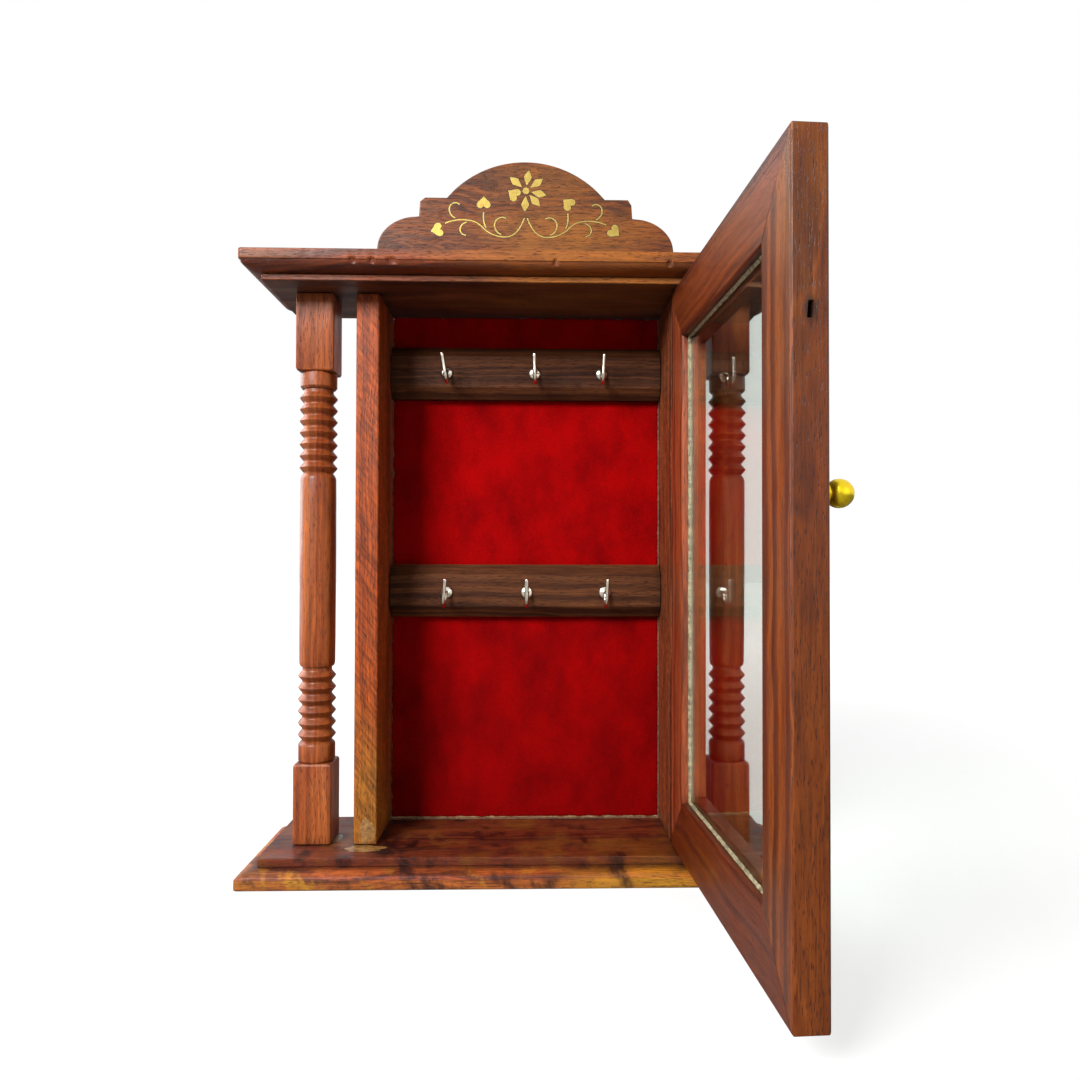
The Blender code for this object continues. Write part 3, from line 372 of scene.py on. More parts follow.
# Birch plywood, three plies glued up: thin plies seen on the edges, a fine pale grain on the back.
def plywood(name):
    material, tree, shader, inMm = newMaterial(name)
    long = put(tree, "VectorMath", [inMm, (0.9, 0.9, 0.02)], operation="MULTIPLY")
    grain = put(tree, "TexNoise", [long, 0, 1, 4, 0.65])
    face = put(tree, "ValToRGB", [grain], stops=[(0.3, "#8c6a45"), (0.55, "#b8946a"), (0.75, "#c9aa80")])
    plies = put(tree, "TexWave", {"Vector": inMm, "Scale": 0.32, "Distortion": 0.4}, wave_type="BANDS",
        bands_direction="Y")
    side = put(tree, "ValToRGB", [plies], stops=[(0.2, "#6b4a2c"), (0.6, "#b8946a")])
    facing = put(tree, "SeparateXYZ", [put(tree, "NewGeometry").outputs["Normal"]]).outputs["Y"]
    flat = put(tree, "Math", [facing], operation="ABSOLUTE")
    colour = put(tree, "MixRGB", [flat, side, face])
    relief = put(tree, "Bump", {"Height": grain, "Distance": 0.00012, "Strength": 0.6})
    fill(tree, shader, {"Base Color": colour, "Roughness": 0.75, "Normal": relief})
    return material


inlayBrass = metal("rolled brass sheet, filed flush", bright="#ab934c", dull="#857038", roughness=0.42,
    tarnish=0.6)
knobBrass = metal("turned brass, lacquered", bright="#ffdf2e", dull="#f2ba18", roughness=0.30, tarnish=0.3)
hangerBrass = metal("stamped brass", bright="#c9a24e", dull="#7d6030", roughness=0.36, tarnish=0.7)
nickelPlate = metal("nickel plated wire", bright="#e6e0d2", dull="#a89c84", roughness=0.18, tarnish=0.4)
steelWire = metal("drawn steel", bright="#a5a29c", dull="#5e5a55", roughness=0.36, tarnish=0.8, grit=0.9)
oldPutty = setStuff("linseed putty, hand run", "#9a9070", "#4e452c", 1.8, 0.75)
driedGlue = setStuff("hide glue, dried", "#99703a", "#633f1c", 2.2, 0.42, coat=0.2)
dustyGlue = setStuff("hide glue with dust and lint in it", "#7a5236", "#2a120a", 1.1, 0.8)
darkLac = setStuff("shellac filler", "#2a160c", "#150a06", 1.0, 0.5)
print("metals, glue and putty")


# Meshes
def looseMesh(name, points, faces):
    mesh = bpy.data.meshes.new(name)
    mesh.from_pydata([Vector(p) * mm for p in points], [], [tuple(f) for f in faces])
    form = bmesh.new()
    form.from_mesh(mesh)
    bmesh.ops.recalc_face_normals(form, faces=form.faces)
    form.to_mesh(mesh)
    form.free()
    return bpy.data.objects.new(name, mesh)


# Gives an object its finish and its body, and hides the CAD nodes that it stands in for
def dress(made, material, slot, stands=(), body="cabinet", crease=35, evenShade=False):
    if made.name not in bpy.context.scene.collection.objects:
        bpy.context.scene.collection.objects.link(made)
    made.data.materials.clear()
    made.data.materials.append(material)
    made.data.shade_smooth()
    made.data.set_sharp_from_angle(angle=math.radians(crease))
    if evenShade:
        flat = made.modifiers.new("flat faces stay flat", "WEIGHTED_NORMAL")
        flat.keep_sharp = True
    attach(made, body)
    if stands:
        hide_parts(*stands)
    return made


def piece(name, points, faces, *finish, **more):
    return dress(looseMesh(name, points, faces), *finish, **more)


# Faces through rings of equally many points, closed off at both ends
def skin(rings, wrap=False):
    count = len(rings[0])
    points = [p for ring in rings for p in ring]
    faces = []
    for k in range(len(rings) if wrap else len(rings) - 1):
        a, b = k * count, (k + 1) % len(rings) * count
        faces += [(a + i, a + (i + 1) % count, b + (i + 1) % count, b + i) for i in range(count)]
    if not wrap:
        faces += [range(count - 1, -1, -1), range((len(rings) - 1) * count, len(rings) * count)]
    return points, faces


# A turned form from (radius, height) pairs. It stands along the axis that turn gives.
def lathed(profile, place, turn=None, sides=48, waver=0.0):
    turn = turn or Matrix.Identity(3)
    rings = []
    for radius, height in profile:
        ring = []
        for i in range(sides):
            a = math.tau * i / sides
            r = radius + waver * lump(2 * math.cos(a), 2 * math.sin(a), height * 0.3)
            ring.append(turn @ Vector((r * math.cos(a), r * math.sin(a), height)) + Vector(place))
        rings.append(ring)
    return skin(rings)


# A copy of a CAD node's mesh with its flat faces made whole and its long arrises rounded
def softened(node, rounding, shortest=3.0, steps=2):
    form = bmesh.new()
    form.from_mesh(cadNodes[node].data)
    bmesh.ops.remove_doubles(form, verts=form.verts, dist=2e-6)
    bmesh.ops.dissolve_limit(form, angle_limit=math.radians(1.0), verts=form.verts, edges=form.edges)
    sharp = [e for e in form.edges if len(e.link_faces) == 2 and e.calc_length() > shortest * mm
             and e.calc_face_angle() > math.radians(30)]
    bmesh.ops.bevel(form, geom=sharp, offset=rounding * mm, segments=steps, profile=0.5, affect="EDGES")
    mesh = bpy.data.meshes.new(node + "_worked")
    form.to_mesh(mesh)
    form.free()
    return bpy.data.objects.new(node + "_worked", mesh)


# Cuts closed meshes out of an object
def cutOut(made, cutters):
    group = bpy.data.collections.new("cutters")
    bpy.context.scene.collection.children.link(group)
    for points, faces in cutters:
        group.objects.link(looseMesh("cutter", points, faces))
    if made.name not in bpy.context.scene.collection.objects:
        bpy.context.scene.collection.objects.link(made)
    boolean = made.modifiers.new("cut out", "BOOLEAN")
    boolean.operation, boolean.solver = "DIFFERENCE", "EXACT"
    boolean.operand_type, boolean.collection = "COLLECTION", group
    boolean.use_self = True
    bpy.context.view_layer.update()
    cut = bpy.data.meshes.new_from_object(made.evaluated_get(bpy.context.evaluated_depsgraph_get()))
    made.modifiers.clear()
    made.data = cut
    for old in list(group.objects):
        bpy.data.objects.remove(old)
    bpy.data.collections.remove(group)
    return made


# A CAD node's own shape with its arrises eased, given its finish
def eased(node, rounding, material, slot, body="cabinet", shortest=3.0, evenShade=True):
    dress(softened(node, rounding, shortest), material, slot, [node], body, evenShade=evenShade)


# Uneven by less than 1 either way, always the same at the same place
def lump(x, y, z):
    return noise.noise(Vector((x, y, z)))


# The cells of a grid of points, row by row, and its border once round
def gridFaces(columns, rows):
    row = columns + 1
    cells = [(j * row + i, j * row + i + 1, (j + 1) * row + i + 1, (j + 1) * row + i)
        for j in range(rows) for i in range(columns)]
    border = [*range(row)] + [j * row + columns for j in range(1, rows + 1)]
    border += [rows * row + i for i in range(columns - 1, -1, -1)] + [j * row for j in range(rows - 1, 0, -1)]
    return cells, border


# Base and cornice: boards with an ovolo between quirks, run along the front and both ends
moulding = dict(reach=7.0, cornerCut=1.2, arris=0.35, quirk=0.45, wander=0.11, stations=420)
holes = dict(nail=1.3, nailHead=2.6, nailHeadDepth=1.2, screw=1.6, screwHead=3.0, spigot=4.2, spigotDepth=6.1)
# Bites out of the cornice, each by its place and half its width
chips = ((-69.0, 1.6), (-61.5, 1.3), (-53.5, 2.2), (12.0, 1.0), (58.0, 1.2))


def quarterRound(z0, z1, most, least, steps=10):
    pairs = []
    for i in range(steps + 1):
        angle = math.radians(90) * i / steps
        pairs.append((least + (most - least) * math.cos(angle), z0 + (z1 - z0) * math.sin(angle)))
    return pairs


def mouldedBoard(name, levels, chipped, seed):
    cut, reachAll = moulding["cornerCut"], moulding["reach"]
    rings = []
    for level, (reach, z) in enumerate(levels):
        half, near = boardHalf - reachAll + reach, frontY + reachAll - reach
        end = [(-half, backY + (near + cut - backY) * i / 24, -1, 0) for i in range(25)]
        end += [(-half + cut * 0.3, near + cut * 0.3, -0.7, -0.7)]
        run = moulding["stations"]
        front = [(-half + cut + 2 * (half - cut) * i / run, near, 0, -1) for i in range(run + 1)]
        ring = []
        for x, y, nx, ny in end + front + [(-x, y, -nx, ny) for x, y, nx, ny in reversed(end)]:
            slow = lump(x * 0.04, y * 0.04, z * 0.12 + seed)
            quick = lump(x * 0.33, y * 0.33, z * 0.7 + seed)
            out = moulding["wander"] * (slow + 0.45 * quick) if 0 < level < len(levels) - 1 else 0
            lift = 0.0
            if chipped and ny == -1 and reach > reachAll - 1.0 and z < chipped + 0.8:
                for place, width in chips:
                    bite = max(0.0, 1 - abs(x - place) / width) ** 0.4
                    out -= (0.55 + 0.5 * lump(x * 1.7, z, 5)) * bite
                    lift += 0.5 * bite
            ring.append((x + nx * out, y + ny * out, z + lift))
        rings.append(ring)
    return looseMesh(name, *skin(rings))


def shaft(x, y, radius, *ends):
    return lathed([(radius, z) for z in sorted(ends)], (x, y, 0))


# What a board is bored for: a nail, two screws and two spigots. Way is 1 with the heads on top, -1 below.
def boresOf(board, outside, inside, way):
    spare = 2 * way
    head, narrow = holes["screwHead"], holes["screw"]
    bores = [shaft(nailX, nailY, holes["nail"], inside - spare, outside + spare)]
    bores += [shaft(nailX, nailY, holes["nailHead"], outside - way * holes["nailHeadDepth"], outside + spare)]
    for side, word in ((-1, "_screw_left"), (1, "_screw_right")):
        spot = screwPlaces[board + word]
        sunk = [(head + 2, outside + spare), (head, outside), (narrow, outside - way * 1.7),
            (narrow, outside - way * 14)]
        bores += [lathed(sunk, (spot.x, spot.y, 0))]
        deepest = inside + way * holes["spigotDepth"]
        bores += [shaft(side * pillarSpot.x, pillarSpot.y, holes["spigot"], inside - spare, deepest)]
    return bores


nailX, nailY = pivotPlace.x, pivotPlace.y
screwPlaces = {}
for end in ("base_screw_left", "base_screw_right", "cornice_screw_left", "cornice_screw_right"):
    low, high = boxOf(end)
    screwPlaces[end] = (low + high) / 2
pillarSpot = sum(boxOf("pillar_right"), Vector()) / 2

quirk, arris, full = moulding["quirk"], moulding["arris"], moulding["reach"]
bandTop, ovoloTop = 4.2, 6.6      # heights on the base
baseLevels = [(full - arris, 0.0), (full, arris), (full, bandTop - 0.3), (full - 0.15, bandTop)]
baseLevels += [(full - quirk, bandTop - 0.05)]
baseLevels += quarterRound(bandTop + 0.1, ovoloTop, full - quirk - 0.05, 0.0)
baseLevels += [(-0.25, ovoloTop + 0.05), (-0.2, ovoloTop + 0.35), (0.0, ovoloTop + 0.6)]
baseLevels += [(0.0, baseTop - arris), (-0.1, baseTop - 0.1), (-arris, baseTop)]
baseBoard = mouldedBoard("base_board_worked", baseLevels, None, 3.0)
cutOut(baseBoard, boresOf("base", 0.0, baseTop, -1))
# the base's height ramp: a little darker on the ovolo, much darker on the fillet and the top
baseSheesham = sheesham("sheesham, planed and moulded, base", cut=(40, 26, 18), wander=26, ring=6.5,
    sapwood=0.45, goldAt=(52, -34, 4), goldReach=45, dark="#2b0f0e", brown="#90471f", warm="#c36d2d",
    gold="#c08724", blotches=0.38, flames=0.85, rubbed=(0, 10.3, [(0.36, "#ffffff"), (0.42, "#f2cfce"),
    (0.60, "#e6cfc8"), (0.66, "#997c9b")]))
dress(baseBoard, baseSheesham, "base_wood", ["base_board"], crease=40, evenShade=True)

filletTop, fasciaLow, top = corniceBottom + 2.8, corniceBottom + 6.5, corniceHigh.z
corniceLevels = [(-arris, corniceBottom), (0.0, corniceBottom + arris), (0.0, filletTop - 0.5)]
corniceLevels += [(-0.2, filletTop - 0.3), (-0.3, filletTop)]
corniceLevels += list(reversed(quarterRound(fasciaLow - 0.1, filletTop, full - quirk - 0.05, 0.0)))
corniceLevels += [(full - quirk, fasciaLow + 0.05), (full - 0.15, fasciaLow), (full, fasciaLow + 0.3)]
corniceLevels += [(full, fasciaLow + 1.2), (full, top - arris), (full - 0.1, top - 0.1), (full - arris, top)]
corniceBoard = mouldedBoard("cornice_board_worked", corniceLevels, fasciaLow, 8.0)
cutters = boresOf("cornice", top, corniceBottom, 1)
for side in ("left", "right"):
    low, high = boxOf("hanger_" + side)
    left, right, foot = low.x - 0.2, high.x + 0.2, corniceBottom + 0.8
    seat = [(left, foot), (right, foot), (right, top + 3), (left, top + 3)]
    cutters.append(skin([[(x, y, z) for x, z in seat] for y in (low.y - 0.1, backY + 2)]))
cutOut(corniceBoard, cutters)
# the cornice's height ramp: painted shade on the ovolo and the underside below the fascia, and a slightly
# darker fascia
corniceSheesham = sheesham("sheesham, planed and moulded, cornice", cut=(-60, 34, -12), wander=20, ring=7.0,
    sapwood=0.35, goldAt=(30, -31, 252), goldReach=75, brown="#7b3515", warm="#aa5824", gold="#b26b21",
    rubbed=(243.8, 254.5, [(0.0, "#adbce7"), (0.03, "#ffffff"), (0.24, "#ffffff"), (0.27, "#bcaaa0"),
    (0.57, "#b3a095"), (0.62, "#ede7e5")]))
dress(corniceBoard, corniceSheesham, "cornice_wood", ["cornice_board"], crease=40, evenShade=True)
print("base and cornice")

# Side panels, sawn from one plank: the marks of the saw are left across their front edges
panelLooks = {
    "left": dict(cut=(10, 22, 30), goldAt=(-67, -8.5, 10), goldReach=85, sapwood=0.25),
    "right": dict(cut=(70, -28, 20), blotches=0.5, brown="#682f15", warm="#874723"),
}
for side, look in panelLooks.items():
    look = {**dict(brown="#85350a", warm="#ae4e13", gold="#a36a20"), **look}
    wood = sheesham("sheesham, sawn, side panel " + side, grain="z", sawMarks=0.9, wander=14, ring=5.0,
        roughness=0.5, **look)
    node = "side_panel_" + side
    eased(node, 0.25, wood, "panel_wood")

eased("back_panel", 0.15, plywood("birch plywood, unfinished"), "plywood")

# Hook rails
for level, cut in (("upper", (20, 40, -30)), ("lower", (-80, -36, 31))):
    wood = sheesham("dark sheesham, moulded, hook rail " + level, cut=cut, dark="#1b0b07", brown="#40200f",
        warm="#63391f", gold="#6d4526", lines=0.6, wander=10, roughness=0.55, shine=0.12, varnish=0.0)
    node = "hook_rail_" + level
    eased(node, 0.3, wood, "rail_wood")
print("panels and rails")

# Velvet lining: a cut of cloth glued to the plywood. Its pile stands in low ridges and its edges are frayed.
lining = dict(step=0.62, pileRise=0.10, ridge=0.16, ragged=0.45, fibres=2600, fibreLength=(0.35, 1.3))
clothLeft, clothRight = velvetLow.x + 0.25, velvetHigh.x - 0.25
clothLow, clothHigh = velvetLow.z + 0.9, velvetHigh.z - 0.2
clothFront, clothBack = velvetLow.y + 0.12, velvetHigh.y - 0.02
across = round((clothRight - clothLeft) / lining["step"])
up = round((clothHigh - clothLow) / lining["step"])


def raggedEdge(place, seed):
    return lining["ragged"] * (lump(place * 0.22, seed, 0) + 0.5 * lump(place * 0.9, seed, 5))


clothPoints = []
for j in range(up + 1):
    for i in range(across + 1):
        x = clothLeft + (clothRight - clothLeft) * i / across
        z = clothLow + (clothHigh - clothLow) * j / up
        rim = min(i, across - i, j, up - j)
        if i in (0, across):
            x += raggedEdge(z, 3.0 + i) * (1 if i == 0 else -1)
        if j in (0, up):
            z += raggedEdge(x, 7.0 + j) * (1 if j == 0 else -1)
        pile = lining["pileRise"] * lump(x * 1.9, z * 1.4, 2)
        pile += lining["ridge"] * lump(x * 0.09, z * 0.05, 9)
        clothPoints.append((x, clothFront - pile * min(1, rim / 2) + (0.25 if rim == 0 else 0.0), z))
clothFaces, border = gridFaces(across, up)
under = len(clothPoints)
clothPoints += [(clothPoints[k][0], clothBack, clothPoints[k][2]) for k in border]
for k in range(len(border)):
    n = (k + 1) % len(border)
    clothFaces.append((border[k], border[n], under + n, under + k))
clothFaces.append([under + k for k in range(len(border))])
redVelvet = velvet("cotton velvet, dyed red, brushed")
cloth = piece("velvet_cloth", clothPoints, clothFaces, redVelvet, "velvet", ["velvet_lining"], crease=60)

fray = random.Random(11)
frayPoints, frayFaces = [], []
for _ in range(lining["fibres"]):
    rimPlace = clothPoints[border[fray.randrange(len(border))]]
    length = fray.uniform(*lining["fibreLength"])
    below, above = rimPlace[2] < clothLow + 1, rimPlace[2] > clothHigh - 1
    outward = Vector((0, 0, -1 if below else 1))
    if not (below or above):
        outward = Vector((-1 if rimPlace[0] < 0 else 1, 0, 0))
    lean = outward * fray.uniform(0.05, 0.75) + Vector((fray.uniform(-0.7, 0.7), -fray.uniform(0.2, 0.9),
        fray.uniform(-0.7, 0.7)))
    start = Vector(rimPlace) + Vector((0, 0.1, 0)) - outward * fray.uniform(0, 0.7)
    tip = start + lean.normalized() * length
    middle = (start + tip) / 2 + Vector((fray.uniform(-0.15, 0.15), -0.05, fray.uniform(-0.15, 0.15)))
    first = len(frayPoints)
    for spot, thick in ((start, 0.07), (middle, 0.05)):
        around = ((thick, 0, 0), (-thick, 0, thick), (0, -thick, -thick))
        frayPoints += [spot + Vector(offset) for offset in around]
    frayPoints.append(tip)
    frayFaces += [(first + 2, first + 1, first)]
    frayFaces += [(first + i, first + (i + 1) % 3, first + 3 + (i + 1) % 3, first + 3 + i) for i in range(3)]
    frayFaces += [(first + 3 + i, first + 3 + (i + 1) % 3, first + 6) for i in range(3)]
frayed = piece("velvet_fray", frayPoints, frayFaces, redVelvet, "velvet", crease=80)
print("velvet:", len(clothPoints), "points")

# Cup hooks of nickel plated wire, screwed into the rails
hook = dict(
    wire=0.9, bend=1.8, bowl=3.9, reach=2.0, tipRise=7.8, screw=6.0,
    cup=2.8, cupDepth=1.1, below=0.6, sides=20,
    upper=((-36.3, -9), (3.9, -2), (34.6, 2)),       # (x, lean in degrees)
    lower=((-36.0, 5), (0.5, 0), (36.2, 3)),
)


def hookLine():
    line = [(-hook["screw"] + i * 0.75, 0.0) for i in range(8)] + [(0.0, 0.0), (hook["reach"], 0.0)]
    for i in range(1, 9):
        a = math.radians(90) * i / 8
        line.append((hook["reach"] + hook["bend"] * math.sin(a), -hook["bend"] * (1 - math.cos(a))))
    x, z = line[-1]
    for i in range(1, 25):
        a = math.radians(180) * i / 24
        line.append((x + hook["bowl"] * (1 - math.cos(a)), z - hook["bowl"] * math.sin(a)))
    x, z = line[-1]
    return line + [(x + 0.6 * (i / 6) ** 2, z + hook["tipRise"] * i / 6) for i in range(1, 7)]


def hookRings(line):
    rings = []
    for k, (reach, z) in enumerate(line):
        a, b = line[max(k - 1, 0)], line[min(k + 1, len(line) - 1)]
        along = Vector((0, -(b[0] - a[0]), b[1] - a[1])).normalized()
        side = along.cross(Vector((1, 0, 0)))
        thick = hook["wire"]
        if reach < -0.3:      # the thread: its crests show where it leaves the hole
            thick *= (0.55 + 0.45 * (k % 2)) * min(1, (k + 1) / 4)
        rings.append([Vector((0, -reach, z)) + thick * (math.cos(t) * Vector((1, 0, 0)) + math.sin(t) * side)
            for t in (math.tau * i / hook["sides"] for i in range(hook["sides"]))])
    end, along = rings[-1], (rings[-1][0] - rings[-2][0]).normalized()
    middle = sum(end, Vector()) / len(end)
    for shrink, lift in ((0.92, 0.22), (0.70, 0.42), (0.35, 0.54)):
        rings.append([middle + (p - middle) * shrink + along * lift for p in end])
    return rings


wirePoints, wireFaces = skin(hookRings(hookLine()))
cupProfile = [(0.55, 0.0), (hook["cup"], 0.0), (hook["cup"] + 0.05, 0.15), (hook["cup"] * 0.97, 0.42),
    (hook["cup"] * 0.82, 0.78), (hook["cup"] * 0.58, 1.02), (hook["wire"] * 1.25, hook["cupDepth"]),
    (hook["wire"] * 1.05, hook["cupDepth"] + 0.25), (0.55, hook["cupDepth"] + 0.3)]
cupPoints, cupFaces = lathed(cupProfile, (0, 0, 0), Matrix.Rotation(math.radians(90), 3, "X"), sides=40)
hookPoints = wirePoints + cupPoints
hookFaces = [list(f) for f in wireFaces] + [[i + len(wirePoints) for i in f] for f in cupFaces]
for level in ("upper", "lower"):
    low, high = boxOf("hook_rail_" + level)
    for number, (x, lean) in enumerate(hook[level], 1):
        turn = Matrix.Rotation(math.radians(lean), 3, "Y")
        spot = Vector((x, low.y - 0.2, (low.z + high.z) / 2 - hook["below"]))
        node = "cup_hook_" + level + "_" + str(number)
        piece(node + "_plated", [turn @ p + spot for p in hookPoints], hookFaces, nickelPlate, "hook_nickel",
            [node], crease=50)
print("cup hooks")

# Pillars: turned between square blocks. Each ring is round or square, with the arrises of the squares eased.
pillar = dict(
    half=8.0, lowBlock=33.6, topBlock=33.0, lowCollar=8.9, topCollar=7.0, lowNeck=1.2, topNeck=1.3,
    lowBeads=6, lowPitch=5.03, topBeads=7, topPitch=5.0,
    collar=7.7, tip=7.95, valley=6.2, shaft=7.5, spigot=4.0, spigotLength=6.0, waver=0.06,
)


def beadRun(low, count, pitch):
    run = []
    for i in range(count):
        for step in range(1, 13):
            s = step / 12
            swell = max(0.0, 1 - 1.18 * (abs(2 * s - 1) ** 1.15))
            radius = pillar["valley"] + (pillar["tip"] - pillar["valley"]) * swell
            run.append((0, radius, low + pitch * (i + s)))
    return run


def pillarSections():
    low, high, half = baseTop + 0.2, corniceBottom - 0.2, pillar["half"]
    collar, valley, shaft = pillar["collar"], pillar["valley"], pillar["shaft"]
    out = [(0, pillar["spigot"] - 0.4, low - pillar["spigotLength"]), (0, pillar["spigot"], low - 5.6)]
    out += [(0, pillar["spigot"], low), (1, half - 0.25, low), (1, half, low + 0.3)]
    z = low + pillar["lowBlock"]
    out += [(1, half, z - 1.2), (1, half - 0.15, z - 0.5), (1, half - 0.6, z)]
    out += [(0, collar - 0.5, z + 0.05), (0, collar - 0.1, z + 0.5), (0, collar, z + 1.0)]
    z += pillar["lowCollar"]
    out += [(0, collar, z - 1.8), (0, collar - 0.2, z - 1.2), (0, collar - 0.9, z - 0.4), (0, valley, z)]
    out += beadRun(z, pillar["lowBeads"], pillar["lowPitch"])
    z += pillar["lowBeads"] * pillar["lowPitch"] + pillar["lowNeck"]
    out += [(0, valley, z)]
    topBlock = high - pillar["topBlock"]
    beadTop = topBlock - pillar["topCollar"] - pillar["topNeck"]
    beadLow = beadTop - pillar["topBeads"] * pillar["topPitch"]
    out += [(0, shaft - 0.5, z + 0.35), (0, shaft - 0.15, z + 1.2)]
    out += [(0, shaft + 0.1 * math.sin(math.pi * k / 8), z + 2.5 + (beadLow - z - 5.0) * k / 8)
        for k in range(9)]
    out += [(0, shaft - 0.1, beadLow - 1.9), (0, shaft - 0.7, beadLow - 0.6), (0, valley, beadLow)]
    out += beadRun(beadLow, pillar["topBeads"], pillar["topPitch"])
    out += [(0, valley, beadTop + pillar["topNeck"])]
    out += [(0, collar - 0.7, topBlock - pillar["topCollar"] + 0.15), (0, collar, topBlock - 6.0)]
    out += [(0, collar, topBlock - 1.0), (0, collar - 0.1, topBlock - 0.4),
        (0, collar - 0.3, topBlock - 0.05)]
    out += [(1, half - 1.1, topBlock), (1, half - 0.3, topBlock + 0.35), (1, half, topBlock + 1.2)]
    out += [(1, half, high - 0.3), (1, half - 0.25, high), (0, pillar["spigot"], high)]
    return out + [(0, pillar["spigot"], high + 5.6),
        (0, pillar["spigot"] - 0.4, high + pillar["spigotLength"])]


# angles bunched at the four corners, so that the eased arrises stay crisp
cornerAngles = []
for quarter in range(4):
    for k in range(24):
        t = k / 12 - 1
        cornerAngles.append(math.radians(90 * quarter + 45 + 45 * math.copysign(abs(t) ** 1.6, t)))


def pillarRings(x, seed):
    rings = []
    for square, radius, z in pillarSections():
        ring = []
        for a in cornerAngles:
            c, s = math.cos(a), math.sin(a)
            wave = pillar["waver"] * lump(c * 1.2 + seed, s * 1.2, z * 0.12)
            reach = radius / (abs(c) ** 30 + abs(s) ** 30) ** (1 / 30) if square else radius
            ring.append((x + (reach + wave) * c, pillarSpot.y + (reach + wave) * s, z))
        rings.append(ring)
    return rings


for side, word in ((-1, "left"), (1, "right")):
    wood = sheesham("sheesham, turned, pillar " + word, grain="z", cut=(30 * side, 17 + 9 * side, 26),
        ring=4.6, wander=9, dark="#3b150e", brown="#863915", warm="#a85a26", lines=0.38, fibre=0.34,
        roughness=0.4)
    node = "pillar_" + word
    piece(node + "_turned", *skin(pillarRings(side * pillarSpot.x, 5.0 + side)), wood, "pillar_wood", [node],
        crease=38)
print("pillars")


# Outlines of sawn nodes, taken from their flat faces
def outlineOf(node, atFront=True):
    form = bmesh.new()
    form.from_mesh(cadNodes[node].data)
    bmesh.ops.remove_doubles(form, verts=form.verts, dist=2e-6)
    level = (min if atFront else max)(v.co.y for v in form.verts)
    flat = {f for f in form.faces if all(abs(v.co.y - level) < 3e-6 for v in f.verts)}
    follow = {}
    for face in flat:
        for loop in face.loops:
            if not any(other in flat for other in loop.edge.link_faces if other is not face):
                follow[loop.vert.index] = loop.link_loop_next.vert.index
    form.verts.ensure_lookup_table()
    start = next(iter(follow))
    order, here = [start], follow[start]
    while here != start:
        order.append(here)
        here = follow[here]
    loop = [(form.verts[k].co.x / mm, form.verts[k].co.z / mm) for k in order]
    form.free()
    return loop


# The same line with more points, curved everywhere but at corners that turn more than this
def faired(points, closed=True, steps=4, corner=34):
    count = len(points)
    spots = [Vector(p) for p in points]

    def turning(k):
        if not closed and k in (0, count - 1):
            return 180
        before, after = spots[k] - spots[k - 1], spots[(k + 1) % count] - spots[k]
        return math.degrees(before.angle(after, 0))

    fair = []
    for k in range(count if closed else count - 1):
        a, b = spots[k], spots[(k + 1) % count]
        before = spots[k - 1] if turning(k) < corner else a * 2 - b
        after = spots[(k + 2) % count] if turning((k + 1) % count) < corner else b * 2 - a
        for i in range(steps):
            t = i / steps
            fair.append(0.5 * (2 * a + (b - before) * t + (2 * before - 5 * a + 4 * b - after) * t * t
                + (3 * a - before - 3 * b + after) * t ** 3))
    if not closed:
        fair.append(spots[-1])
    return [(p.x, p.y) for p in fair]


def grown(outline, by):
    turned = sum(a[0] * b[1] - b[0] * a[1] for a, b in zip(outline, outline[1:] + outline[:1]))
    out = by if turned > 0 else -by
    wide = []
    for k, (x, z) in enumerate(outline):
        a, b = outline[k - 1], outline[(k + 1) % len(outline)]
        along = Vector((b[0] - a[0], b[1] - a[1])).normalized()
        wide.append((x + out * along.y, z - out * along.x))
    return wide


def slab(outline, levels):
    return skin([[(x, y, z) for x, z in grown(outline, by)] for y, by in levels])


# A grid over a large flat face, so that pockets can be cut in it cleanly
def divided(made, step):
    form = bmesh.new()
    form.from_mesh(made.data)
    for axis in (0, 2):
        low, high = min(v.co[axis] for v in form.verts) / mm, max(v.co[axis] for v in form.verts) / mm
        way = [1.0 if k == axis else 0.0 for k in range(3)]
        for i in range(1, int((high - low) / step)):
            place = [0.0, 0.0, 0.0]
            place[axis] = (low + i * step) * mm
            bmesh.ops.bisect_plane(form, geom=form.verts[:] + form.edges[:] + form.faces[:], plane_co=place,
                plane_no=way, dist=1e-7)
    form.to_mesh(made.data)
    form.free()


# Crest: sawn from one board, its arrises sanded round, with pockets for the inlay
crest = dict(
    arris=0.55, bedWidth=0.22, bedDepth=1.25, inlayDepth=1.0, proud=0.05, inlayArris=0.06, division=3.7,
    wireWidth=0.54, slimShare=0.6, manyPoints=20,      # the bed is slimmer round outlines of many points
)
crestFront, crestBack = crestLow.y, crestHigh.y
crestLine = faired(outlineOf("crest_board", atFront=False), steps=4)
crestLine = [p for p, before in zip(crestLine, crestLine[-1:] + crestLine[:-1])
    if math.dist(p, before) > 0.45]
arris = crest["arris"]
easing = ((0, -1), (0.16, -0.5), (0.5, -0.14), (1, 0))     # depth, and how far out, in shares of the arris
crestLevels = [(crestFront + depth * arris, out * arris) for depth, out in easing]
crestLevels += [(crestBack - depth * arris, out * arris) for depth, out in reversed(easing)]
crestBoard = looseMesh("crest_board_worked", *slab(crestLine, crestLevels))
divided(crestBoard, crest["division"])


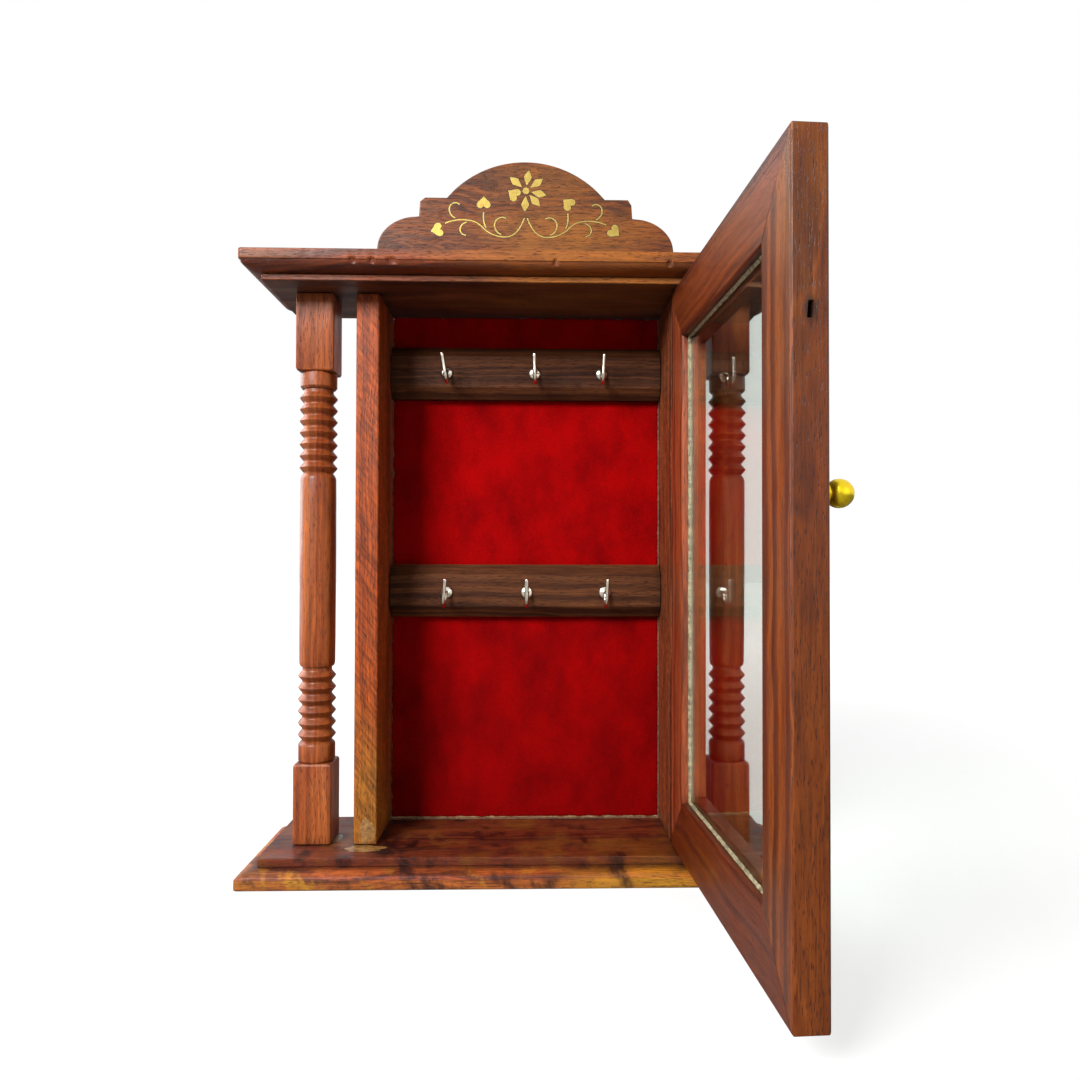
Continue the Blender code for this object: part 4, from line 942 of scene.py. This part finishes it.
def wireOutline(loop):
    # the middle line between the two long sides of a wire, faired, and drawn again at an even width
    half = len(loop) // 2
    ends = [math.dist(loop[k], loop[k - 1]) + math.dist(loop[k + half - len(loop)], loop[k + half - 1])
        for k in range(half)]
    start = ends.index(min(ends))
    loop = loop[start:] + loop[:start]
    middle = [((loop[k][0] + loop[-1 - k][0]) / 2, (loop[k][1] + loop[-1 - k][1]) / 2) for k in range(half)]
    width = crest["wireWidth"] / 2
    line = faired(middle, closed=False, steps=4, corner=60)
    sides = ([], [])
    for k, (x, z) in enumerate(line):
        a, b = line[max(k - 1, 0)], line[min(k + 1, len(line) - 1)]
        along = Vector((b[0] - a[0], b[1] - a[1])).normalized()
        uneven = width * (1 + 0.12 * lump(x * 0.5, z * 0.5, 3))
        sides[0].append((x - along.y * uneven, z + along.x * uneven))
        sides[1].append((x + along.y * uneven, z - along.x * uneven))
    return sides[0] + sides[1][::-1]


beds, bedPoints, bedFaces = [], [], []
for node in sorted(n for n in cadNodes if n.startswith("inlay_")):
    loop = outlineOf(node)
    if any(word in node for word in ("vine", "stalk", "curl")):
        shape = wireOutline(loop)
    else:
        shape = faired(loop, steps=3, corner=62)
    near, e = crestFront - crest["proud"], crest["inlayArris"]
    points, faces = slab(shape, [(near, -e), (near + 0.3 * e, -0.3 * e), (near + e, 0),
        (near + crest["inlayDepth"], 0)])
    piece(node + "_set", points, faces, inlayBrass, "inlay_brass", [node], crease=40, evenShade=True)
    wide = crest["bedWidth"] * (crest["slimShare"] if len(loop) > crest["manyPoints"] else 1)
    bedWide, bedEnd = wide + 0.01, crestFront + crest["bedDepth"] + 0.01
    beds.append(slab(shape, [(crestFront - 1, bedWide), (bedEnd, bedWide)]))
    # the filler: a tray with the inlay lying in it
    rim = crestFront + 0.03
    points, faces = slab(shape, [(crestFront + crest["bedDepth"], wide), (rim, wide), (rim, 0.01),
        (near + crest["inlayDepth"] + 0.01, 0.01)])
    bedFaces += [[i + len(bedPoints) for i in face] for face in faces]
    bedPoints += points
cutOut(crestBoard, beds)
crestSheesham = sheesham("sheesham, sawn and sanded, crest", cut=(-20, 16, -255), ring=3.6, wander=46,
    dark="#35180b", brown="#65300e", warm="#7f4317", gold="#92581c", lines=0.7, sapwood=0.3,
    goldAt=(14, -16, 262), goldReach=50, blotches=0.6, roughness=0.45)
dress(crestBoard, crestSheesham, "crest_wood", ["crest_board"], crease=40, evenShade=True)
piece("inlay_filler", bedPoints, bedFaces, darkLac, "crest_wood", crease=40)
beech = sheesham("beech, turned dowel", grain="z", dark="#8a6238", brown="#a97c4c", warm="#c69a68",
    gold="#d0a878")
for side in ("left", "right"):
    eased("crest_dowel_" + side, 0.1, beech, "dowel_beech", evenShade=False)
print("crest and inlay")

# Door frame: four mitred members, planed, with the arrises taken off
doorLooks = {
    "stile_free": dict(grain="z", cut=(60, 33, 61), warm="#804012", brown="#612a09", gold="#875117",
                       sapwood=0.35),
    "stile_pivot": dict(grain="z", cut=(-40, -22, 28), warm="#9d4a27", brown="#703019"),
    "rail_top": dict(grain="door", cut=(20, -40, -20), warm="#733514", brown="#58210a", wander=10),
    "rail_bottom": dict(grain="door", cut=(-70, 28, 33), warm="#652807", brown="#4c1904", wander=18),
}
oldHole = dict(place=(-138.6, 0, 195.1), rust=(2.6, 2.6, 4.6))    # left by a nail in the free edge
for word, look in doorLooks.items():
    node = "door_" + word
    if word == "stile_free":
        look.update(stainAt=tuple(doorPlace @ Vector(oldHole["place"])), stainReach=oldHole["rust"])
    wood = sheesham("sheesham, planed, door " + word.replace("_", " "), ring=7.5, roughness=0.4, **look)
    eased(node, 0.22, wood, "door_wood", "door")

# Glass: drawn sheet, very slightly wavy, with ground edges
pane = dict(step=3.0, wave=0.018, edge=0.15)
paneLow, paneHigh = doorBoxOf("door_glass")


def paneFace(y, seed):
    e = pane["edge"]
    columns = round((paneHigh.x - paneLow.x) / pane["step"])
    rows = round((paneHigh.z - paneLow.z) / pane["step"])
    grid = []
    for j in range(rows + 1):
        for i in range(columns + 1):
            x = paneLow.x + e + (paneHigh.x - paneLow.x - 2 * e) * i / columns
            z = paneLow.z + e + (paneHigh.z - paneLow.z - 2 * e) * j / rows
            inner = 0 < i < columns and 0 < j < rows
            wave = pane["wave"] * lump(x * 0.03, z * 0.015, seed) if inner else 0
            grid.append((x, y + wave, z))
    return grid, *gridFaces(columns, rows)


panePoints, paneFaces, rims = [], [], []
for y, seed in ((paneLow.y, 1.0), (paneHigh.y, 2.0)):
    grid, cells, rim = paneFace(y, seed)
    paneFaces += [[k + len(panePoints) for k in cell] for cell in cells]
    rims.append([k + len(panePoints) for k in rim])
    panePoints += grid
for y in (paneLow.y + pane["edge"], paneHigh.y - pane["edge"]):
    fresh = []
    for k in rims[0]:
        x, _, z = panePoints[k]
        grow = pane["edge"]
        x += grow * (1 if x > paneHigh.x - 1 else -1 if x < paneLow.x + 1 else 0)
        z += grow * (1 if z > paneHigh.z - 1 else -1 if z < paneLow.z + 1 else 0)
        fresh.append(len(panePoints))
        panePoints.append((x, y, z))
    rims.append(fresh)
for a, b in ((0, 2), (2, 3), (3, 1)):
    ringA, ringB = rims[a], rims[b]
    paneFaces += [(ringA[k], ringA[(k + 1) % len(ringA)], ringB[(k + 1) % len(ringB)], ringB[k])
        for k in range(len(ringA))]
piece("door_pane", [doorPlace @ Vector(p) for p in panePoints], paneFaces, windowGlass("drawn sheet glass"),
    "glass", ["door_glass"], "door", crease=30)

# Putty: a hand-run fillet in the corner between glass and rebate, thick in some places and thin in others
putty = dict(
    width=0.85, height=0.85, uneven=0.35, step=1.3,
    shape=((0, 0), (1.0, 0), (0.97, 0.1), (0.62, 0.33), (0.28, 0.66), (0.06, 0.98), (0, 1.0)),
)
puttyLow, puttyHigh = doorBoxOf("glazing_putty")


def puttyRings():
    corners = [(puttyLow.x, puttyLow.z), (puttyHigh.x, puttyLow.z), (puttyHigh.x, puttyHigh.z),
        (puttyLow.x, puttyHigh.z)]
    rings = []
    for k, (x0, z0) in enumerate(corners):
        x1, z1 = corners[(k + 1) % 4]
        length = math.dist((x0, z0), (x1, z1))
        count = round(length / putty["step"])
        for i in range(count):
            x, z = x0 + (x1 - x0) * i / count, z0 + (z1 - z0) * i / count
            bulge = lump(x * 0.35, z * 0.35, 4) + 0.6 * lump(x * 1.1, z * 1.1, 8)
            wide = putty["width"] * (1 + putty["uneven"] * bulge)
            tall = putty["height"] * (1 + putty["uneven"] * bulge * 0.8)
            ring = []
            for inset, rise in putty["shape"]:
                d = inset * wide
                ring.append((min(max(x, puttyLow.x + d), puttyHigh.x - d), paneHigh.y + 0.05 + rise * tall,
                    min(max(z, puttyLow.z + d), puttyHigh.z - d)))
            rings.append(ring)
    return rings


points, faces = skin(puttyRings(), wrap=True)
piece("putty_fillet", [doorPlace @ Vector(p) for p in points], faces, oldPutty, "putty", ["glazing_putty"],
    "door", crease=50)
print("door frame, glass and putty")

# Knob: turned brass, a ball on a short neck, with fine rings left by the tool
knob = dict(ball=4.0, reach=11.0, rings=0.035, ringPitch=0.42)
knobLow, knobHigh = doorBoxOf("door_knob")
knobSpot = Vector(((knobLow.x + knobHigh.x) / 2, knobHigh.y, (knobLow.z + knobHigh.z) / 2))
knobProfile = [(1.0, 0.0), (3.3, 0.0), (3.5, 0.15), (3.5, 0.7), (3.3, 0.9), (2.7, 1.15), (2.35, 1.5),
    (2.2, 2.0), (2.2, 2.6), (2.35, 3.1)]
centre = knob["reach"] - knob["ball"]
for i in range(46):
    a = math.radians(-52 + 140 * i / 45)
    groove = knob["rings"] * abs(math.sin(math.pi * (knob["ball"] * a) / knob["ringPitch"])) if a < 0.9 else 0
    ball = knob["ball"] - groove
    knobProfile.append((ball * math.cos(a), centre + ball * math.sin(a)))
knobProfile.append((0.05, knob["reach"]))
outOfDoor = doorPlace.to_3x3() @ Matrix.Rotation(math.radians(90), 3, "X")
points, faces = lathed(knobProfile, doorPlace @ knobSpot, outOfDoor, sides=72)
piece("knob_turned", points, faces, knobBrass, "knob_brass", ["door_knob"], "door", crease=40)
eased("knob_stud", 0.1, steelWire, "fixing_steel", "door", evenShade=False)

# Pivot nails with hammered heads, and slotted screws
nail = dict(shank=1.2, head=2.35, headHeight=0.85, sunk=0.2)
for node, head, way in (("pivot_nail_bottom", 0.0, 1), ("pivot_nail_top", corniceHigh.z, -1)):
    low, high = boxOf(node)
    tip = high.z if way > 0 else low.z
    face = head + way * nail["sunk"]
    profile = [(0.3, face), (1.5, face + way * 0.03), (nail["head"] - 0.25, face + way * 0.12),
        (nail["head"], face + way * 0.35), (nail["head"], face + way * 0.6),
        (nail["shank"] + 0.3, face + way * nail["headHeight"]), (nail["shank"], face + way * 1.1),
        (nail["shank"], tip - way * 1.6), (0.15, tip)]
    points, faces = lathed(profile, (nailX, nailY, 0), sides=32, waver=0.08)
    piece(node + "_driven", points, faces, steelWire, "fixing_steel", [node], crease=40)

screw = dict(head=2.75, shank=1.4, slotWidth=0.7, slotDepth=0.8)


def slottedScrew(node, place, along, length, headDepth):
    turn = along.to_track_quat("Z", "Y").to_matrix()
    profile = [(0.2, 0.2), (screw["head"] - 0.15, 0.2), (screw["head"], 0.35),
        (screw["shank"], 0.35 + headDepth)]
    threads = int((length - 3.0) / 0.9)
    for k in range(threads):
        z = 2.6 + 0.9 * k
        profile += [(screw["shank"] * 0.8, z), (screw["shank"], z + 0.4)]
    profile.append((0.15, length))
    made = looseMesh(node + "_slotted", *lathed(profile, place, turn, sides=32))
    half = screw["slotWidth"] / 2
    corners = ((-half, -4, -1), (half, -4, -1), (half, 4, -1), (-half, 4, -1))
    slot = [turn @ Vector(p) + Vector(place) for p in corners]
    deep = [p + along * (1.2 + screw["slotDepth"]) for p in slot]
    cutOut(made, [skin([slot, deep])])
    dress(made, steelWire, "fixing_steel", [node], crease=30)


for node, spot in screwPlaces.items():
    low, high = boxOf(node)
    up = node.startswith("base")
    slottedScrew(node, (spot.x, spot.y, 0.0 if up else corniceHigh.z), Vector((0, 0, 1 if up else -1)),
        high.z - low.z, 1.4)
for side in ("left", "right"):
    low, high = boxOf("hanger_screw_" + side)
    middle = (low + high) / 2
    slottedScrew("hanger_screw_" + side, (middle.x, backY, middle.z), Vector((0, -1, 0)), high.y - low.y, 0.7)
    eased("hanger_" + side, 0.2, hangerBrass, "hanger_brass", shortest=0.9)
print("knob, nails, screws and hangers")


# Dried glue, squeezed out and smeared at the foot of the left panel and along the edges of the velvet
def smear(name, centre, reach, thick, seed, upright=False, spokes=44, rings=9):
    points, faces = [], []
    for k in range(rings + 1):
        share = k / rings
        for i in range(spokes):
            a = math.tau * i / spokes
            wobble = 1 + 0.30 * lump(math.cos(a) * 1.6, math.sin(a) * 1.6, seed)
            wobble += 0.12 * lump(math.cos(a) * 5, math.sin(a) * 5, seed)
            u, v = reach[0] * wobble * share * math.cos(a), reach[1] * wobble * share * math.sin(a)
            rise = thick * (1 - share ** 2.2) * (1 + 0.5 * lump(u * 0.8, v * 0.8, seed))
            points.append(Vector(centre) + (Vector((u, -rise, v)) if upright else Vector((u, v, rise))))
    points = [sum(points[:spokes], Vector()) / spokes] + points[spokes:]
    faces += [(0, 1 + i, 1 + (i + 1) % spokes) for i in range(spokes)]
    for k in range(rings - 1):
        a, b = 1 + k * spokes, 1 + (k + 1) * spokes
        faces += [(a + i, b + i, b + (i + 1) % spokes, a + (i + 1) % spokes) for i in range(spokes)]
    last = 1 + (rings - 1) * spokes
    sunk = Vector((0, 0.08, 0)) if upright else Vector((0, 0, -0.08))
    faces.append([len(points) + i for i in range(spokes)])
    points += [p + sunk for p in points[last:last + spokes]]
    low = len(points) - spokes
    faces += [(last + i, low + i, low + (i + 1) % spokes, last + (i + 1) % spokes) for i in range(spokes)]
    piece(name, points, faces, driedGlue, "panel_wood", crease=60)


smears = {
    "glue_foot": dict(centre=(-66.2, -12.4, baseTop), reach=(8.2, 3.9), thick=0.18, seed=2.0),
    "glue_pillar": dict(centre=(-80.8, 0.6, baseTop), reach=(2.6, 4.4), thick=0.35, seed=6.0),
    "glue_panel_edge": dict(centre=(-66.4, panelFront, 15.8), reach=(2.9, 5.4), thick=0.28, seed=9.0,
                            upright=True),
}
for name, shape in smears.items():
    smear(name, **shape)

glueLine = dict(step=0.8, wide=0.55, seed=31)
edgeRandom = random.Random(glueLine["seed"])
lowLeft, lowRight = Vector((velvetLow.x, velvetLow.y, baseTop)), Vector((velvetHigh.x, velvetLow.y, baseTop))
rightEdge = [Vector((velvetHigh.x + 0.2, velvetLow.y, z)) for z in (baseTop, corniceBottom)]
for name, start, end in (("glue_line_low", lowLeft, lowRight), ("glue_line_right", *rightEdge)):
    count = round((end - start).length / glueLine["step"])
    side = Vector((0, -1, 0))
    up = Vector((0, 0, 1)) if name.endswith("low") else Vector((-1, 0, 0))
    rings = []
    for i in range(count + 1):
        spot = start.lerp(end, i / count)
        bulk = glueLine["wide"] * (0.65 + 0.8 * abs(lump(i * 0.37, glueLine["seed"], 0))
            + edgeRandom.uniform(-0.15, 0.15))
        outline = ((-0.4, -0.1), (1.1 * bulk, -0.1), (bulk, 0.3 * bulk), (0.5 * bulk, 0.85 * bulk), (0, bulk),
                   (-0.4, bulk))
        rings.append([spot + side * out + up * rise for out, rise in outline])
    points, faces = skin(rings)
    piece(name, points, faces, dustyGlue, "panel_wood", crease=60)
print("glue")

# Floor, lit from below like a light table: seen white, with a weak shadow, and throwing little light back
floorMaterial, floorTree, floorShader, floorMm = newMaterial("opal acrylic sheet, matt")
floorRay = put(floorTree, "LightPath")
seenRay = put(floorTree, "Math", [floorRay.outputs["Is Camera Ray"], floorRay.outputs["Is Transmission Ray"]],
    operation="MAXIMUM")
paint = put(floorTree, "MixRGB", [seenRay, room["floorBounce"], room["floor"]])
away = put(floorTree, "VectorMath", [floorMm], operation="LENGTH")
rising = put(floorTree, "MapRange", [away.outputs["Value"], *room["glowReach"], *room["glow"]])
glow = put(floorTree, "Emission", {"Color": "#ffffff", "Strength": rising})
share = put(floorTree, "Math", [seenRay, room["floorSeen"]], operation="MULTIPLY")
blend = put(floorTree, "MixShader", [share, floorShader, glow])
fill(floorTree, floorShader, {"Base Color": paint, "Roughness": 0.9})
fill(floorTree, floorTree.nodes["Material Output"], {"Surface": blend})
half = room["floorSize"] / 2
floor = looseMesh("floor", [(-half, -half, -0.1), (half, -half, -0.1), (half, half, -0.1),
    (-half, half, -0.1)], [(0, 1, 2, 3)])
bpy.context.scene.collection.objects.link(floor)
floor.data.materials.append(floorMaterial)
